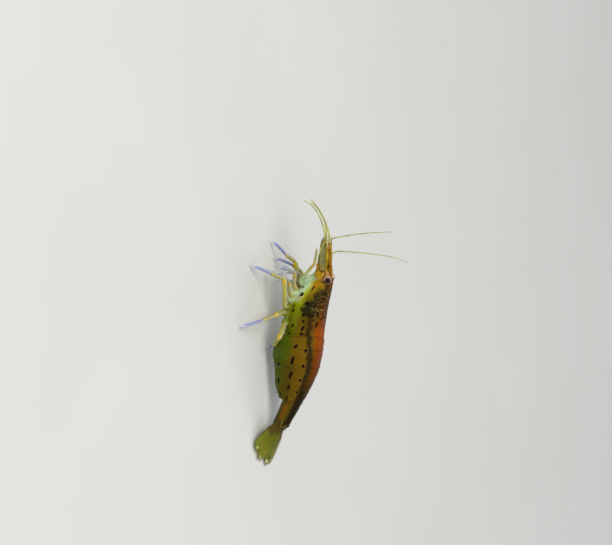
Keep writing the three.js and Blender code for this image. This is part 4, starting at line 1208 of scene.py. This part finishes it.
paleFlesh = fleshPaint()
bristleHair = speckledPaint("bristleHair", (214, 220, 226), (190, 200, 214), (232, 234, 234), 0.8)
goldHair = speckledPaint("goldHair", (140, 136, 56), (112, 110, 36), (170, 166, 96), 0.8)
tailHorn = speckledPaint("tailHorn", (80, 62, 8), (64, 48, 6), (38, 24, 4), 0.7)
spineHorn = speckledPaint("spineHorn", (180, 156, 80), (146, 112, 40), (90, 56, 16), 0.4)
print("paints mixed")

# The body.
buildPiece("carapaceShell", [carapacePart()], carapaceShell, "shell", "carapace", wall=trunk["wall"])
buildPiece("rostrum", [rostrumPart()], rostrumHorn, "shell")
for i in range(ringCount):
    plate = [ringPart(i)]
    buildPiece(f"ringPlate{i + 1}", plate, ringShell, "shell", f"abdomen_{i + 1}", wall=trunk["wall"])
buildPiece("bodyFlesh", [bodyFlesh()], paleFlesh, "flesh", "head", "mouthparts", "thorax_floor")
print("body built")

# The tail fan, with a fringe of hairs and the telson's spinules.
bladePaint = {"telson": telsonBlade, "uropod_inner_left": leftBlade, "uropod_inner_right": innerBlade}
blades = {"telson": fanBlade("telson", "middle")}
for kind in ("inner", "outer"):
    blades.update({f"uropod_{kind}_{name}": fanBlade(kind, name) for name in sides})
for name, blade in blades.items():
    buildPiece(f"{name}Blade", [bladePart(blade)], bladePaint.get(name, outerBlade), "fin", name)
    count, start, hair = blade["fringe"]
    bristlePiece(f"{name}Fringe", *bladeFringe(blade, count, start), hair, goldHair, 0.026, 0.08, "fin")
buildPiece("fanRoot", fanRoot(), tailHorn, "flesh")
root, along, across, up = bladeFrame(blades["telson"])
pairs = [(t, edge) for t in np.linspace(0.42, 0.93, fan["spinules"]) for edge in (-1, 1)]
roots = [root + along * t + across * edge * 0.52 * (1 - 0.62 * t) + up * 0.2 for t, edge in pairs]
aims = [along + up * 2.5] * len(pairs)
bristlePiece("telsonSpinules", roots, aims, fan["spinule"], spineHorn, 0.09, 0.02, "fin")
print("tail fan built")

# The eyes on their stalks: a dark core behind a cornea that is clear round its pole.
eyeShape = {"base": (-11.9, 0.45, 13.0), "gaze": (0.12, 1, 0.42), "cornea": (0.78, 0.78, 0.76), "core": 0.6,
            "stalk": through([0, 0.35, 0.75, 1], [0.4, 0.44, 0.56, 0.54])}
for name, side in sides.items():
    centre = np.array(eyeCentre[name])
    base, gaze = mirrored((eyeShape["base"], eyeShape["gaze"]), side)
    gaze = unit(gaze)
    line = [mix(base, centre, f) for f in np.linspace(0, 0.92, 16)]
    stalk = tubePart(line, eyeShape["stalk"](np.linspace(0, 1, 16)), count=24)
    buildPiece(f"eyestalkSkin_{name}", [stalk], stalkSkin, "flesh", f"eyestalk_{name}")
    cornea = ballPart(centre, eyeShape["cornea"], gaze, 40, 28)
    buildPiece(f"cornea_{name}", [cornea], eyeCornea, "eye", f"eye_{name}")
    core = ballPart(centre + gaze * 0.1, (eyeShape["core"],) * 3, gaze, 32, 22)
    buildPiece(f"eyeCore_{name}", [core], eyeCore, "eye")
print("eyes built")

# The head's limbs and feelers.
for name, side in sides.items():
    shape = {key: mirrored(headShape[key], side) for key in ("antennule", "antenna", "spike", "maxilliped")}
    stem = chain(shape["antennule"], headShape["antennuleRadii"])
    stem.append(tubePart(shape["spike"], headShape["spikeRadii"], count=10))
    buildPiece(f"antennuleStem_{name}", stem, peduncleShell, "leg", f"antennule_stem_{name}")
    stem = chain(shape["antenna"], headShape["antennaRadii"])
    buildPiece(f"antennaStem_{name}", stem, peduncleShell, "leg", f"antenna_stem_{name}")
    for kind in ("outer", "inner"):
        whipPiece(f"antennuleWhip_{kind}_{name}", antennulePath(name, kind == "outer"),
                  whipShape["antennuleRadii"], feelerHorn, "feeler", f"antennule_{kind}_{name}")
    whipPiece(f"antennaWhip_{name}", antennaPath(name), whipShape["antennaRadii"], feelerHorn, "feeler",
              f"antenna_{name}")
    blade = scaleOf(side)
    buildPiece(f"antennalScale_{name}", [bladePart(blade)], scaleGlass, "fin", f"antenna_scale_{name}")
    fringe = bladeFringe(blade, headShape["scaleHairs"], 0.25, edges=(-side,), splay=0.7)
    bristlePiece(f"scaleFringe_{name}", *fringe, headShape["hair"], goldHair, 0.024, 0.08, "fin")
    leg = chain(shape["maxilliped"], headShape["maxillipedRadii"])
    buildPiece(f"mouthLeg_{name}", leg, mouthShell, "leg", f"maxilliped_{name}")
    count = headShape["mouthHairs"]
    roots = pathThrough(shape["maxilliped"])(np.linspace(1.4, 3.97, count))
    aims = [(-1.2, 0.4 * side * math.sin(i * 2.4), -0.8 + 0.7 * math.cos(i * 2.4)) for i in range(count)]
    bristlePiece(f"mouthLegHairs_{name}", roots, aims, headShape["hair"], bristleHair, 0.022, 0.3, "leg")
print("head built")

# The legs: six to stand on, and four with pincers and brushes. Behind them are the swimmerets.
for name, joints in walkingLegs.items():
    parts, roots, aims = walkingLeg(name, joints)
    buildPiece(f"{name}Shell", parts, legShell, "leg", name)
    bristlePiece(f"{name}Spines", roots, aims, walkingShape["spine"], spineHorn, 0.07, 0.05, "leg")
for name, joints in pincerLegs.items():
    parts, roots, aims = pincerLeg(name, joints)
    buildPiece(f"{name}Shell", parts, pincerShell, "leg", name)
    bristlePiece(f"{name}Brush", roots, aims, pincerShape["brush"], bristleHair, 0.026, 0.16, "leg")
for name, side in sides.items():
    for i in range(swimShape["pairs"]):
        parts, roots, aims = swimmeret(i, side)
        piece = f"swimmeret{i + 1}_{name}"
        buildPiece(f"{piece}Leaves", parts, swimGlass, "fin", f"swimmeret_{i + 1}_{name}")
        bristlePiece(f"{piece}Hairs", roots, aims, swimShape["hair"], goldHair, 0.024, 0.1, "fin")
print("legs built")

# The studio: a pale floor and soft light. The camera lies on its side, so the head is up.
studio = {
    "lens": 100, "sensor": 36, "clip": (0.01, 20), "distance": 340, "height": 24, "target": (-11.9, 0, 8.32),
    "floor": 2.5,
    "sky": (0.9, 0.93, 1.0, 1), "skyPower": 0.4,
    "lamps": {  # place in metres, size, power, colour
        "keyLight": ((-0.25, -0.45, 0.6), 0.5, 4.6, (1.0, 0.97, 0.93)),
        "fillLight": ((0.55, -0.35, 0.35), 0.6, 1.5, (0.94, 0.97, 1.0)),
        "backLight": ((0.1, 0.6, 0.5), 0.4, 0.8, (1.0, 1.0, 1.0)),
    },
}


def floorPaint():
    paint = Paint("floorPaper")
    shade = paint.step(paint.noise(60), -0.3, 0.3)
    paint.feed(Base_Color=paint.blend(shade, (216, 216, 210), (220, 220, 215)),
               Roughness=0.7 + paint.noise(8) * 0.05)
    return paint


sheet = bpy.data.meshes.new("studioFloor")
corners = [(x * studio["floor"], y * studio["floor"], 0) for x, y in ((-1, -1), (1, -1), (1, 1), (-1, 1))]
sheet.from_pydata(corners, [], [(0, 1, 2, 3)])
sheet.materials.append(floorPaint().material)
objectOf("studioFloor", sheet)

target = Vector(toFrame(studio["target"]))
tilt = math.radians(studio["height"])
viewFrom = Vector((0, -math.cos(tilt), math.sin(tilt)))
right = Vector((0, math.sin(tilt), math.cos(tilt)))
lens = bpy.data.cameras.new("camera")
lens.lens, lens.sensor_width = studio["lens"], studio["sensor"]
lens.clip_start, lens.clip_end = studio["clip"]
camera = objectOf("camera", lens)
turn = Matrix((right, (-1, 0, 0), viewFrom)).transposed().to_4x4()
camera.matrix_world = Matrix.Translation(target + viewFrom * studio["distance"] * mm) @ turn
bpy.context.scene.camera = camera

for name, (place, size, power, colour) in studio["lamps"].items():
    light = bpy.data.lights.new(name, "AREA")
    light.size, light.energy, light.color = size, power, colour
    aim = (target - Vector(place)).to_track_quat("-Z", "Y").to_matrix().to_4x4()
    objectOf(name, light).matrix_world = Matrix.Translation(place) @ aim
sky = bpy.data.worlds.new("studioSky")
sky.use_nodes = True
air = sky.node_tree.nodes["Background"].inputs
air["Color"].default_value, air["Strength"].default_value = studio["sky"], studio["skyPower"]
bpy.context.scene.world = sky
bpy.context.scene.view_settings.view_transform = "Standard"
print("studio lit")
